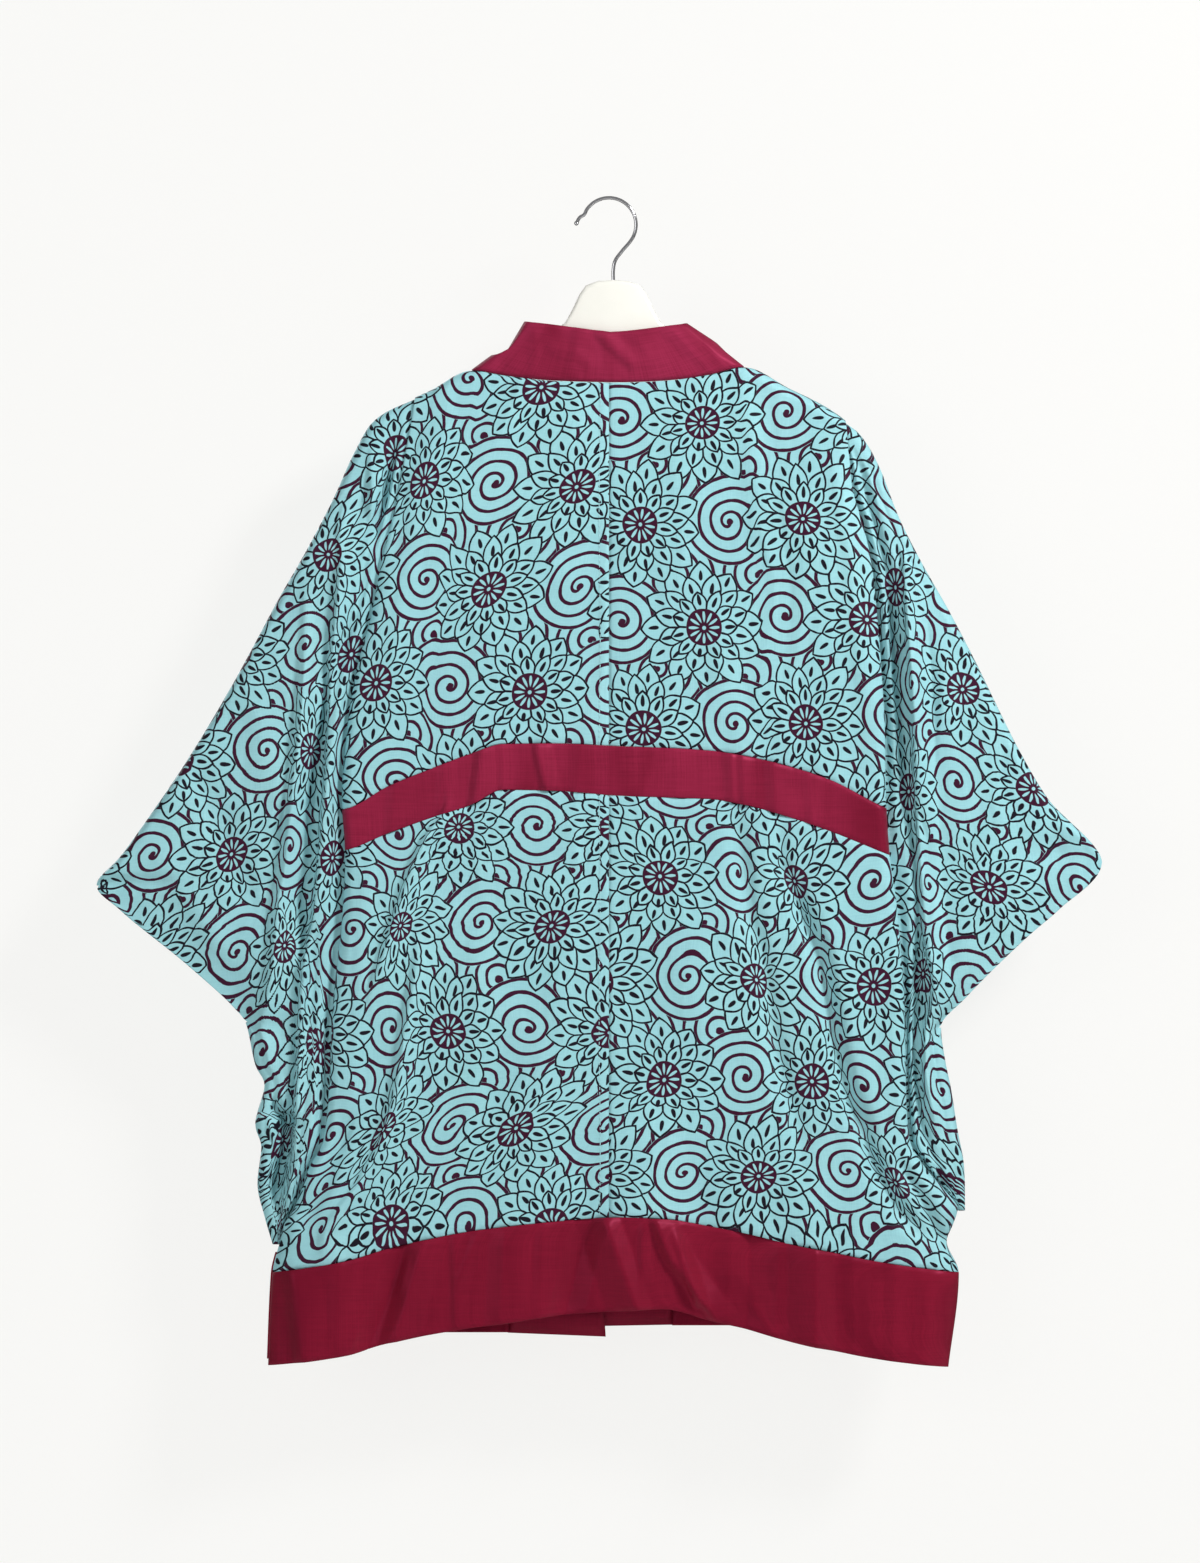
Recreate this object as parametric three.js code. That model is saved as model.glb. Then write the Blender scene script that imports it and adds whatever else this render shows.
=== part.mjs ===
// Kimono jacket hung on a moulded clothes hanger, with its back towards -Y.
// Millimetres, +Z up, +X to the right of the back. The origin is the inside top of the hanger's hook.
import * as THREE from 'three';

// Driving dimensions, mm
const CLOTH = 1.2; // wall of the printed cloth
const BAND = 1.6; // wall of the plain bands, which are sewn double
const SEAM = 0.3; // gap between two pieces at a seam
const LAP = 2; // how far a sleeve's armhole edge passes behind the body's edge
const STEP_BACK = 1.7; // how far behind the body's edge the sleeve's wall runs there
const HALF_DEPTH = 8.6; // from the middle plane to the seam of an armhole
const SHOULDER_ROLL = 10; // height of the cloth's turn over the hanger's arms
const TURN_STARTS = [115, 127]; // how far out from the centre that turn sets in, beside the neck
const SHOULDER_EDGE = 0.42; // from the middle plane to the edge of the cloth at the shoulder seam
const FOLD_RADIUS = 8; // turn of the cloth along the outer fold of a sleeve
const WIRE = 1.6; // radius of the hook's wire
const HOOK_RADIUS = 24.8; // of the hook's bend, to the middle of the wire
const HANGER_HALF = 6; // half of the hanger's thickness
const HANGER_BEVEL = 4;
const FACING_WIDTH = 14; // burgundy facing inside the left side slit

// Colours and finishes
const PRINT = { color: 0x8fd2d8, roughness: 0.75, metalness: 0 };
const BURGUNDY = { color: 0x7e1c33, roughness: 0.55, metalness: 0 };
const WHITE = { color: 0xf3f2ee, roughness: 0.4, metalness: 0 };
const CHROME = { color: 0xc8c8cc, roughness: 0.15, metalness: 1 };

// The sides of the body, where it rolls over to the sleeves and, lower down, ends at the side slits.
const SIDES = [
  { z: -182, left: -178, right: 214 }, { z: -203, left: -181, right: 217 },
  { z: -235, left: -187, right: 220 }, { z: -265, left: -192, right: 223 },
  { z: -300, left: -200, right: 233 }, { z: -336, left: -209, right: 241 },
  { z: -383, left: -218, right: 246 }, { z: -435, left: -232, right: 250 },
  { z: -486, left: -240, right: 253 }, { z: -551, left: -245, right: 254 },
  { z: -600, left: -242, right: 257 }, { z: -650, left: -244, right: 264 },
  { z: -740, left: -253, right: 271 }, { z: -834, left: -258, right: 273 },
  { z: -865, left: -262, right: 276 }, { z: -890, left: -275, right: 290 },
  { z: -912, left: -283, right: 309 }, { z: -928, left: -289, right: 320 },
  { z: -942, left: -298, right: 316 }, { z: -958, left: -302, right: 310 },
  { z: -987, left: -309, right: 321 }, { z: -1076, left: -313, right: 311 },
];

// Seams that cross the back: the neckline and shoulders, both edges of the waist band and of the hem band.
const CROSS_SEAMS = [
  { x: -320, neck: -262, waistTop: -572, waistEnd: -612, hemTop: -988, hem: -1073 },
  { x: -240, neck: -216, waistTop: -560, waistEnd: -598, hemTop: -975, hem: -1062 },
  { x: -203, neck: -194, waistTop: -540, waistEnd: -583, hemTop: -964, hem: -1051 },
  { x: -164, neck: -176, waistTop: -524, waistEnd: -569, hemTop: -955, hem: -1043 },
  { x: -127, neck: -158, waistTop: -510, waistEnd: -557, hemTop: -948, hem: -1037 },
  { x: -97, neck: -162.5, waistTop: -501, waistEnd: -543, hemTop: -944, hem: -1033 },
  { x: -50, neck: -167.5, waistTop: -500.5, waistEnd: -544, hemTop: -939, hem: -1026 },
  { x: 10, neck: -169, waistTop: -503, waistEnd: -548.5, hemTop: -935, hem: -1021 },
  { x: 50, neck: -167.5, waistTop: -504.5, waistEnd: -550, hemTop: -936.5, hem: -1019.5 },
  { x: 92, neck: -162, waistTop: -507, waistEnd: -551.5, hemTop: -943.5, hem: -1030 },
  { x: 125, neck: -155, waistTop: -512, waistEnd: -557, hemTop: -950, hem: -1038 },
  { x: 165, neck: -174, waistTop: -521.5, waistEnd: -568, hemTop: -959.5, hem: -1049 },
  { x: 203, neck: -193.5, waistTop: -534, waistEnd: -581, hemTop: -967, hem: -1057 },
  { x: 250, neck: -232, waistTop: -558, waistEnd: -600, hemTop: -976.5, hem: -1066 },
  { x: 325, neck: -300, waistTop: -590, waistEnd: -632, hemTop: -987, hem: -1075 },
];

// How far the back and the fronts hang from the middle plane.
const HANG = [
  { z: -160, back: 11, leftFront: 15, rightFront: 11 }, { z: -260, back: 13, leftFront: 17, rightFront: 12 },
  { z: -420, back: 17, leftFront: 16.5, rightFront: 13 }, { z: -600, back: 20, leftFront: 15, rightFront: 14 },
  { z: -780, back: 22, leftFront: 14, rightFront: 16 }, { z: -940, back: 23, leftFront: 13, rightFront: 18 },
  { z: -1080, back: 21, leftFront: 12.5, rightFront: 19 },
];

// Depth of the armhole seam from the middle plane. It closes at the top of the side slit and parts below it.
const EDGE_DEPTH = [
  { z: -160, depth: HALF_DEPTH, roll: 10 }, { z: -230, depth: HALF_DEPTH, roll: 12 },
  { z: -330, depth: HALF_DEPTH, roll: 15 }, { z: -850, depth: HALF_DEPTH, roll: 16 },
  { z: -900, depth: 6, roll: 18 }, { z: -945, depth: 2.4, roll: 24 }, { z: -1080, depth: 3, roll: 40 },
];

// The largest folds of the back. Height is towards the viewer, so a trough is below zero.
const BACK_FOLDS = [
  { fromX: -150, fromZ: -580, toX: -204, toZ: -720, width: 15, height: -5 },
  { fromX: -186, fromZ: -740, toX: -216, toZ: -920, width: 17, height: -5 },
  { fromX: -222, fromZ: -620, toX: -238, toZ: -860, width: 12, height: 4 },
  { fromX: 160, fromZ: -630, toX: 216, toZ: -800, width: 15, height: -6 },
  { fromX: 212, fromZ: -790, toX: 292, toZ: -955, width: 14, height: -7 },
  { fromX: 188, fromZ: -640, toX: 246, toZ: -850, width: 14, height: 4 },
  { fromX: 224, fromZ: -262, toX: 229, toZ: -400, width: 9, height: -4 },
  { fromX: 190, fromZ: -210, toX: 205, toZ: -480, width: 22, height: 3 },
  { fromX: -160, fromZ: -200, toX: -196, toZ: -480, width: 22, height: 3 },
  { fromX: -62, fromZ: -800, toX: -84, toZ: -1060, width: 26, height: 4 },
  { fromX: 30, fromZ: -860, toX: 34, toZ: -1050, width: 34, height: 6 },
  { fromX: 84, fromZ: -930, toX: 104, toZ: -1060, width: 20, height: -4 },
  { fromX: 170, fromZ: -900, toX: 190, toZ: -1070, width: 22, height: 4 },
  { fromX: -178, fromZ: -960, toX: -190, toZ: -1070, width: 20, height: -4 },
  { fromX: -252, fromZ: -900, toX: -262, toZ: -1076, width: 20, height: 4 },
];

// The sleeves, a row for each section from the shoulder to the bottom of the bag under the arm.
// x, z: the outer edge. drop: how far lower the armhole end lies. depth: half the sleeve's thickness.
// trough and soft: where the two long folds run, measured from the armhole.
const LEFT_SLEEVE = [
  { x: -179, z: -184.5, drop: 9, depth: 7.2, trough: 3, soft: 6, folds: 0 },
  { x: -203, z: -195, drop: 12, depth: 10, trough: 8, soft: 14, folds: 0 },
  { x: -218, z: -206, drop: 14, depth: 11, trough: 12, soft: 22, folds: 0.2 },
  { x: -235, z: -235, drop: 8, depth: 12, trough: 14, soft: 28, folds: 0.5 },
  { x: -253, z: -275, drop: 3, depth: 13, trough: 16, soft: 34, folds: 0.8 },
  { x: -283, z: -332, drop: 0, depth: 14, trough: 18, soft: 44, folds: 1 },
  { x: -301, z: -363, drop: 0, depth: 14, trough: 19, soft: 54, folds: 1 },
  { x: -347, z: -448, drop: 0, depth: 14, trough: 20, soft: 46, folds: 1 },
  { x: -389, z: -518, drop: 0, depth: 14, trough: 15, soft: 38, folds: 1 },
  { x: -448, z: -603, drop: 0, depth: 13, trough: 22, soft: 56, folds: 1 },
  { x: -471, z: -631, drop: 0, depth: 12, trough: 24, soft: 58, folds: 1, cuff: 'start' },
  { x: -448, z: -655, drop: 0, depth: 12, trough: 25, soft: 60, folds: 1 },
  { x: -389, z: -703, drop: 0, depth: 12, trough: 25, soft: 58, folds: 1 },
  { x: -347, z: -741, drop: 0, depth: 12, trough: 25, soft: 56, folds: 1 },
  { x: -334, z: -757, drop: 0, depth: 12, trough: 26, soft: 54, folds: 1, cuff: 'end' },
  { x: -325, z: -796, drop: 0, depth: 13, trough: 27, soft: 50, folds: 1.1 },
  { x: -316.5, z: -815, drop: 0, depth: 13, trough: 27, soft: 44, folds: 1.2 },
  { x: -325, z: -850, drop: 0, depth: 14, trough: 28, soft: 46, folds: 1.2 },
  { x: -319.5, z: -872, drop: 0, depth: 13, trough: 26, soft: 42, folds: 1.1 },
  { x: -323, z: -905, drop: 0, depth: 12, trough: 20, soft: 34, folds: 0.8 },
  { x: -316, z: -937, drop: 0, depth: 8, trough: 10, soft: 15, folds: 0.3 },
  { x: -309, z: -961, drop: 0, depth: 2.4, trough: 4, soft: 6, folds: 0 },
];
const RIGHT_SLEEVE = [
  { x: 217, z: -206, drop: 9, depth: 7.2, trough: 3, soft: 6, folds: 0 },
  { x: 228, z: -214, drop: 12, depth: 8.6, trough: 5, soft: 9, folds: 0 },
  { x: 238, z: -227, drop: 12, depth: 11, trough: 8, soft: 14, folds: 0.2 },
  { x: 249, z: -248, drop: 8, depth: 12, trough: 12, soft: 21, folds: 0.5 },
  { x: 266, z: -292, drop: 3, depth: 13, trough: 14, soft: 26, folds: 0.8 },
  { x: 286, z: -332, drop: 0, depth: 14, trough: 15, soft: 32, folds: 1 },
  { x: 312, z: -378, drop: 0, depth: 14, trough: 16, soft: 40, folds: 1 },
  { x: 335, z: -422, drop: 0, depth: 14, trough: 17, soft: 44, folds: 1 },
  { x: 377, z: -507, drop: 0, depth: 14, trough: 18, soft: 48, folds: 1 },
  { x: 403, z: -551, drop: 0, depth: 13, trough: 18, soft: 50, folds: 1 },
  { x: 453, z: -610, drop: 0, depth: 12, trough: 18, soft: 50, folds: 1, cuff: 'start' },
  { x: 415, z: -652, drop: 0, depth: 12, trough: 18, soft: 48, folds: 1 },
  { x: 385, z: -678, drop: 0, depth: 12, trough: 18, soft: 46, folds: 1 },
  { x: 330, z: -732, drop: 0, depth: 12, trough: 16, soft: 36, folds: 1 },
  { x: 305, z: -762, drop: 0, depth: 12, trough: 12, soft: 22, folds: 1, cuff: 'end' },
  { x: 309, z: -793, drop: 0, depth: 13, trough: 13, soft: 24, folds: 0.9 },
  { x: 314, z: -817, drop: 0, depth: 13, trough: 15, soft: 26, folds: 1 },
  { x: 320, z: -855, drop: 0, depth: 14, trough: 17, soft: 30, folds: 1 },
  { x: 326, z: -888, drop: 0, depth: 13, trough: 14, soft: 24, folds: 0.7 },
  { x: 327, z: -910, drop: 0, depth: 8, trough: 8, soft: 12, folds: 0.1 },
  { x: 327, z: -930, drop: 0, depth: 2.6, trough: 3, soft: 4.5, folds: 0 },
];

// The collar and the front bands, one strip from the centre back to the front hem.
// seam: the edge sewn to the neckline and the fronts. edge: the free edge. dent: creases the turn at the neck.
const LEFT_COLLAR = [
  { seamX: 0, seamZ: -169, edgeX: 1, edgeZ: -122.5, depth: -11, dent: 0 },
  { seamX: -30, seamZ: -168.6, edgeX: -22, edgeZ: -119.5, depth: -11, dent: 0 },
  { seamX: -62, seamZ: -166.6, edgeX: -44, edgeZ: -116.5, depth: -11, dent: 0 },
  { seamX: -94, seamZ: -163, edgeX: -60, edgeZ: -114.5, depth: -11, dent: 0 },
  { seamX: -117, seamZ: -158.6, edgeX: -71, edgeZ: -113.5, depth: -10, dent: 3 },
  { seamX: -124, seamZ: -157.4, edgeX: -76, edgeZ: -112.8, depth: -6, dent: 6 },
  { seamX: -127, seamZ: -158, edgeX: -77.5, edgeZ: -112.7, depth: 0, dent: 7 },
  { seamX: -125, seamZ: -161, edgeX: -76, edgeZ: -115, depth: 6, dent: 5 },
  { seamX: -121, seamZ: -172, edgeX: -72, edgeZ: -124, depth: 12, dent: 2 },
  { seamX: -120, seamZ: -200, edgeX: -71, edgeZ: -160, depth: 15.6, dent: 0 },
  { seamX: -118, seamZ: -262, edgeX: -66, edgeZ: -240, depth: 17, dent: 0 },
  { seamX: -114, seamZ: -400, edgeX: -54, edgeZ: -390, depth: 16.6, dent: 0 },
  { seamX: -108, seamZ: -600, edgeX: -36, edgeZ: -596, depth: 15, dent: 0 },
  { seamX: -100, seamZ: -830, edgeX: -17, edgeZ: -830, depth: 13.7, dent: 0 },
  { seamX: -92, seamZ: -1043.5, edgeX: -3, edgeZ: -1047, depth: 12.6, dent: 0 },
];
const RIGHT_COLLAR = [
  { seamX: 0, seamZ: -169, edgeX: 1, edgeZ: -122.5, depth: -11, dent: 0 },
  { seamX: 30, seamZ: -168.6, edgeX: 20, edgeZ: -121, depth: -11, dent: 0 },
  { seamX: 62, seamZ: -166.2, edgeX: 40, edgeZ: -118.5, depth: -11, dent: 0 },
  { seamX: 94, seamZ: -161.8, edgeX: 56, edgeZ: -116.5, depth: -11, dent: 0 },
  { seamX: 115, seamZ: -157.2, edgeX: 66, edgeZ: -115.3, depth: -10, dent: 0 },
  { seamX: 122, seamZ: -155.2, edgeX: 70.5, edgeZ: -114.6, depth: -6, dent: -1 },
  { seamX: 125, seamZ: -155, edgeX: 72, edgeZ: -114.8, depth: 0, dent: -2 },
  { seamX: 123, seamZ: -158, edgeX: 70.5, edgeZ: -117, depth: 6, dent: -1 },
  { seamX: 119, seamZ: -170, edgeX: 67, edgeZ: -126, depth: 10, dent: 0 },
  { seamX: 117, seamZ: -200, edgeX: 65, edgeZ: -160, depth: 11.5, dent: 0 },
  { seamX: 112, seamZ: -262, edgeX: 57, edgeZ: -240, depth: 12, dent: 0 },
  { seamX: 101, seamZ: -400, edgeX: 38, edgeZ: -390, depth: 13, dent: 0 },
  { seamX: 88, seamZ: -600, edgeX: 13, edgeZ: -596, depth: 14, dent: 0 },
  { seamX: 72, seamZ: -830, edgeX: -11, edgeZ: -830, depth: 16.5, dent: 0 },
  { seamX: 58, seamZ: -1036.5, edgeX: -31, edgeZ: -1038, depth: 18.5, dent: 0 },
];

// The hanger's moulded body: its upper outline from the dome to the end of each arm, and its arms' width.
const HANGER_DOME = [
  { x: 0, z: -74 }, { x: 14, z: -75 }, { x: 25, z: -79 }, { x: 31, z: -87 }, { x: 37, z: -100 },
  { x: 44, z: -113 }, { x: 55, z: -122 },
];
const HANGER_X = 3.7; // middle of the hanger
const ARM_CLEAR = 1.7; // from the middle of the cloth's wall down to the arms that carry it
const ARM_TIP_DROP = 2.2; // the arms' ends lie lower, under the lapped tops of the sleeves
const ARM_ROOT = [[96, -148], [126, -165]]; // the arms' upper edge between the dome and the shoulders
const ARM_WIDTH = 30; // near the neck
const ARM_END_WIDTH = 24;
const ARM_END = { left: -200, right: 208 };
const ARM_JOIN = 127; // where the arms' lower edge turns to run flatter towards the neck
const ARM_JOIN_SLOPE = 0.49;

// A smooth curve without overshoot through two columns of a table.
function track(rows, at, column) {
  const list = rows.map(row => [row[at], row[column]]).sort((a, b) => a[0] - b[0]);
  const slopes = list.slice(1).map((p, i) => (p[1] - list[i][1]) / (p[0] - list[i][0]));
  const tangents = list.map((p, i) => {
    const before = slopes[Math.max(i - 1, 0)];
    const after = slopes[Math.min(i, slopes.length - 1)];
    return before * after <= 0 ? 0 : (2 * before * after) / (before + after);
  });
  return value => {
    const x = THREE.MathUtils.clamp(value, list[0][0], list[list.length - 1][0]);
    let i = 0;
    while (i < list.length - 2 && x > list[i + 1][0]) i += 1;
    const span = list[i + 1][0] - list[i][0];
    const t = (x - list[i][0]) / span;
    const rise = list[i + 1][1] - list[i][1];
    const a = tangents[i] * span;
    const b = tangents[i + 1] * span;
    return list[i][1] + a * t + (3 * rise - 2 * a - b) * t * t + (a + b - 2 * rise) * t * t * t;
  };
}

const smooth = THREE.MathUtils.smoothstep;
const mix = THREE.MathUtils.lerp;
const side = { left: track(SIDES, 'z', 'left'), right: track(SIDES, 'z', 'right') };
const cross = {};
for (const name of ['neck', 'waistTop', 'waistEnd', 'hemTop', 'hem']) cross[name] = track(CROSS_SEAMS, 'x', name);
const hang = {};
for (const name of ['back', 'leftFront', 'rightFront']) hang[name] = track(HANG, 'z', name);
const edgeDepth = track(EDGE_DEPTH, 'z', 'depth');
const rollWidth = track(EDGE_DEPTH, 'z', 'roll');

// Height of one long soft fold at a place on the cloth.
function foldHeight(fold, x, z) {
  const dx = fold.toX - fold.fromX;
  const dz = fold.toZ - fold.fromZ;
  const length = Math.hypot(dx, dz);
  const along = ((x - fold.fromX) * dx + (z - fold.fromZ) * dz) / length;
  const across = ((x - fold.fromX) * dz - (z - fold.fromZ) * dx) / length;
  const fade = length * 0.3;
  const ends = smooth(along, -fade, fade) * (1 - smooth(along, length - fade, length + fade));
  return fold.height * ends * Math.exp(-((across / fold.width) ** 2));
}

// How far the turn over the hanger's arm has brought the cloth out from the shoulder seam, 0 to 1.
function shoulderTurn(x, below) {
  const s = THREE.MathUtils.clamp(below / SHOULDER_ROLL, 0, 1);
  const turned = Math.sqrt(1 - (1 - s) ** 2);
  return mix(1, turned, smooth(Math.abs(x), ...TURN_STARTS));
}

// A point of the body: way is -1 on the back and 1 on the fronts.
function bodyPoint(x, z, way, depthAt, folds) {
  const edge = x < 0 ? side.left(z) : side.right(z);
  const roll = rollWidth(z);
  const inside = THREE.MathUtils.clamp(Math.abs(edge - x) / roll, 0, 1);
  const rim = edgeDepth(z) + STEP_BACK;
  const relief = folds.reduce((sum, fold) => sum + foldHeight(fold, x, z), 0);
  const full = rim + (depthAt(z) + relief - rim) * Math.sqrt(1 - (1 - inside) ** 2);
  const depth = mix(SHOULDER_EDGE, full, shoulderTurn(x, cross.neck(x) - z));
  return new THREE.Vector3(x, way * depth, z);
}

// A closed wall of cloth around a grid of points; skip names the cells that are left open.
function wall(grid, thickness, skip = () => false) {
  const columns = grid[0].length;
  const points = grid.flat();
  const cells = [];
  for (let i = 0; i < grid.length - 1; i += 1) {
    for (let j = 0; j < columns - 1; j += 1) {
      const first = i * columns + j;
      if (!skip(i, j)) cells.push([first, first + 1, first + columns + 1, first + columns]);
    }
  }
  const normals = points.map(() => new THREE.Vector3());
  for (const cell of cells) {
    const across = points[cell[2]].clone().sub(points[cell[0]]);
    const along = points[cell[3]].clone().sub(points[cell[1]]);
    const normal = across.cross(along);
    for (const corner of cell) normals[corner].add(normal);
  }
  const used = [...new Set(cells.flat())];
  const place = new Map(used.map((corner, i) => [corner, i]));
  const vertices = [];
  for (const reach of [thickness / 2, -thickness / 2]) {
    for (const corner of used) {
      const normal = normals[corner].normalize();
      vertices.push(...points[corner].clone().addScaledVector(normal, reach));
    }
  }
  const sides = new Map();
  for (const cell of cells) {
    cell.forEach((corner, k) => sides.set(`${corner},${cell[(k + 1) % 4]}`, [corner, cell[(k + 1) % 4]]));
  }
  const inner = used.length;
  const index = [];
  const quad = (a, b, c, d) => index.push(a, b, c, a, c, d);
  for (const cell of cells) {
    const [a, b, c, d] = cell.map(corner => place.get(corner));
    quad(a, b, c, d);
    quad(d + inner, c + inner, b + inner, a + inner);
  }
  for (const [a, b] of sides.values()) {
    if (!sides.has(`${b},${a}`)) quad(place.get(b), place.get(a), place.get(a) + inner, place.get(b) + inner);
  }
  const geometry = new THREE.BufferGeometry();
  geometry.setAttribute('position', new THREE.Float32BufferAttribute(vertices, 3));
  geometry.setIndex(index);
  geometry.computeVertexNormals();
  return geometry;
}

const jacket = new THREE.Group();
function add(name, geometry, finish) {
  const mesh = new THREE.Mesh(geometry, new THREE.MeshStandardMaterial(finish));
  mesh.name = name;
  jacket.add(mesh);
}
const steps = (from, to, count) => Array.from({ length: count + 1 }, (_, i) => mix(from, to, i / count));

// Shares of the way from the centre to one side, closer together where the edge rolls over.
const HALF_ACROSS = [...steps(0, 1, 10), 'far', 'near', 'rim'];
const ROLL_SHARE = { far: 0.42, near: 0.1, rim: 0 };

// One panel of the back between two cross seams, over the named sides. The rows run downwards.
function backPanel(top, bottom, sidesUsed, shares, gapAtTop) {
  const column = (name, share) => {
    const way = name === 'left' ? -1 : 1;
    return shares.map(v => {
      let z = mix(top(0), bottom(0), v);
      let x = 0;
      for (let turn = 0; turn < 12; turn += 1) {
        const roll = rollWidth(z);
        const edge = Math.abs(side[name](z));
        const reach = share in ROLL_SHARE ? edge - roll * ROLL_SHARE[share] : (edge - roll) * share;
        x = way * Math.max(reach, sidesUsed.length === 1 ? SEAM / 2 : 0);
        z = mix(top(x) - gapAtTop, bottom(x) + SEAM / 2, v);
      }
      return bodyPoint(x, z, -1, hang.back, BACK_FOLDS);
    });
  };
  const left = [...HALF_ACROSS].reverse().map(share => column('left', share));
  const right = HALF_ACROSS.map(share => column('right', share));
  if (sidesUsed.length === 2) left.pop();
  const columns = [...(sidesUsed.includes('left') ? left : []), ...(sidesUsed.includes('right') ? right : [])];
  return shares.map((_, i) => columns.map(points => points[i]));
}
// Facing -Y needs the cells' corners to run down and then to the right.
const facingBack = grid => grid[0].map((_, j) => grid.map(row => row[j]));

const UPPER_ROWS = [0, 0.008, 0.022, ...steps(0.06, 1, 11)];
for (const name of ['left', 'right']) {
  const upper = backPanel(cross.neck, cross.waistTop, [name], UPPER_ROWS, 0);
  add(`back_upper_${name}`, wall(facingBack(upper), CLOTH), PRINT);
  const lower = backPanel(cross.waistEnd, cross.hemTop, [name], steps(0, 1, 13), SEAM / 2);
  add(`back_lower_${name}`, wall(facingBack(lower), CLOTH), PRINT);
}
const waist = backPanel(cross.waistTop, cross.waistEnd, ['left', 'right'], steps(0, 1, 2), SEAM / 2);
add('waist_band', wall(facingBack(waist), BAND), BURGUNDY);
const hemBand = backPanel(cross.hemTop, cross.hem, ['left', 'right'], steps(0, 1, 4), SEAM / 2);
add('back_hem_band', wall(facingBack(hemBand), BAND), BURGUNDY);

// The collar and front bands are one strip round the neck.
const COLLAR_ROWS = steps(0, 14, 28);
const TURN_ROW = 6; // the row of the tables that lies on the turn at the neck
const TURN_GAP = 1; // extra room at the neck's corner, where three pieces meet
function collarTracks(table) {
  const rows = table.map((row, i) => ({ ...row, i }));
  const tracks = {};
  for (const name of ['seamX', 'seamZ', 'edgeX', 'edgeZ', 'depth', 'dent']) tracks[name] = track(rows, 'i', name);
  return tracks;
}
const collar = { left: collarTracks(LEFT_COLLAR), right: collarTracks(RIGHT_COLLAR) };
function collarPoint(name, row, share) {
  const at = collar[name];
  const way = name === 'left' ? -1 : 1;
  const seamX = at.seamX(row);
  const seam = new THREE.Vector3(seamX, at.depth(row), row < TURN_ROW ? cross.neck(seamX) : at.seamZ(row));
  const edge = new THREE.Vector3(at.edgeX(row), at.depth(row) * 0.9, at.edgeZ(row));
  const run = edge.clone().sub(seam);
  const length = run.length();
  const gap = SEAM + 0.2 + TURN_GAP * Math.exp(-(((row - TURN_ROW) / 2) ** 2));
  const point = seam.clone().addScaledVector(run, mix(gap / length, 1, share));
  const inward = new THREE.Vector3(-way * Math.abs(run.z), 0, -Math.abs(run.x)).normalize();
  point.addScaledVector(inward, at.dent(row) * Math.sin(Math.PI * share) ** 2);
  return point;
}
const collarStrip = name => COLLAR_ROWS.map(row => steps(0, 1, 4).map(share => collarPoint(name, row, share)));
const collarGrid = [...collarStrip('left').slice(1).reverse(), ...collarStrip('right')];
add('collar_band', wall(collarGrid, BAND), BURGUNDY);

// The fronts hang from the shoulder seam between the armhole and the front band.
const FRONT_ROWS = [0, 0.003, 0.008, 0.025, ...steps(0.08, 0.82, 9), ...steps(0.86, 1, 4)];
const FRONT_FIRST = 8; // the first collar row that lies on the front
function bandSeam(name) {
  const rows = (name === 'left' ? LEFT_COLLAR : RIGHT_COLLAR).slice(FRONT_FIRST - 2);
  return track(rows, 'seamZ', 'seamX');
}
function frontPanel(name, topAt, bottomAt, shares, columns) {
  const way = name === 'left' ? -1 : 1;
  const seam = bandSeam(name);
  const depthAt = hang[`${name}Front`];
  return shares.map(v => [...steps(0, 1, columns), 'far', 'near', 'rim'].map(share => {
    let z = mix(topAt(0), bottomAt(0), v);
    let x = 0;
    for (let turn = 0; turn < 12; turn += 1) {
      const roll = rollWidth(z);
      const edge = Math.abs(side[name](z));
      const start = way * seam(z) + SEAM / 2;
      const reach = share in ROLL_SHARE ? edge - roll * ROLL_SHARE[share] : mix(start, edge - roll, share);
      x = way * reach;
      z = mix(topAt(x), bottomAt(x), v);
    }
    return bodyPoint(x, z, 1, depthAt, []);
  }));
}
const FRONT_HEM = 89; // height of the band along the bottom of each front
const frontEnd = { left: -1043, right: -1037 };
for (const name of ['left', 'right']) {
  const split = frontEnd[name] + FRONT_HEM;
  const main = frontPanel(name, cross.neck, () => split + SEAM / 2, FRONT_ROWS, 4);
  const band = frontPanel(name, () => split - SEAM / 2, () => frontEnd[name], steps(0, 1, 3), 4);
  for (const [label, grid, thickness, finish] of [
    [`front_${name}`, main, CLOTH, PRINT], [`front_hem_${name}`, band, BAND, BURGUNDY]]) {
    add(label, wall(name === 'left' ? facingBack(grid) : grid, thickness), finish);
  }
}

// The sleeves: each section runs from the back of the armhole round the outer fold to the front of it.
const LAYER_SHARES = ['armhole', 'lap', 'ridge', 'trough', 'ridge2', 'soft', 0.3, 0.65, 1];
const FRONT_SHARES = ['armhole', 'lap', 'trough', 'soft', 0.5, 1];
const FOLD_ANGLES = [40, 90, 140];
const TROUGH_DEPTH = 5.5;
const SOFT_DEPTH = 2.5;
const CUFF_DEPTH = 5; // half the gap between the layers at the cuff's edge

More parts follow.
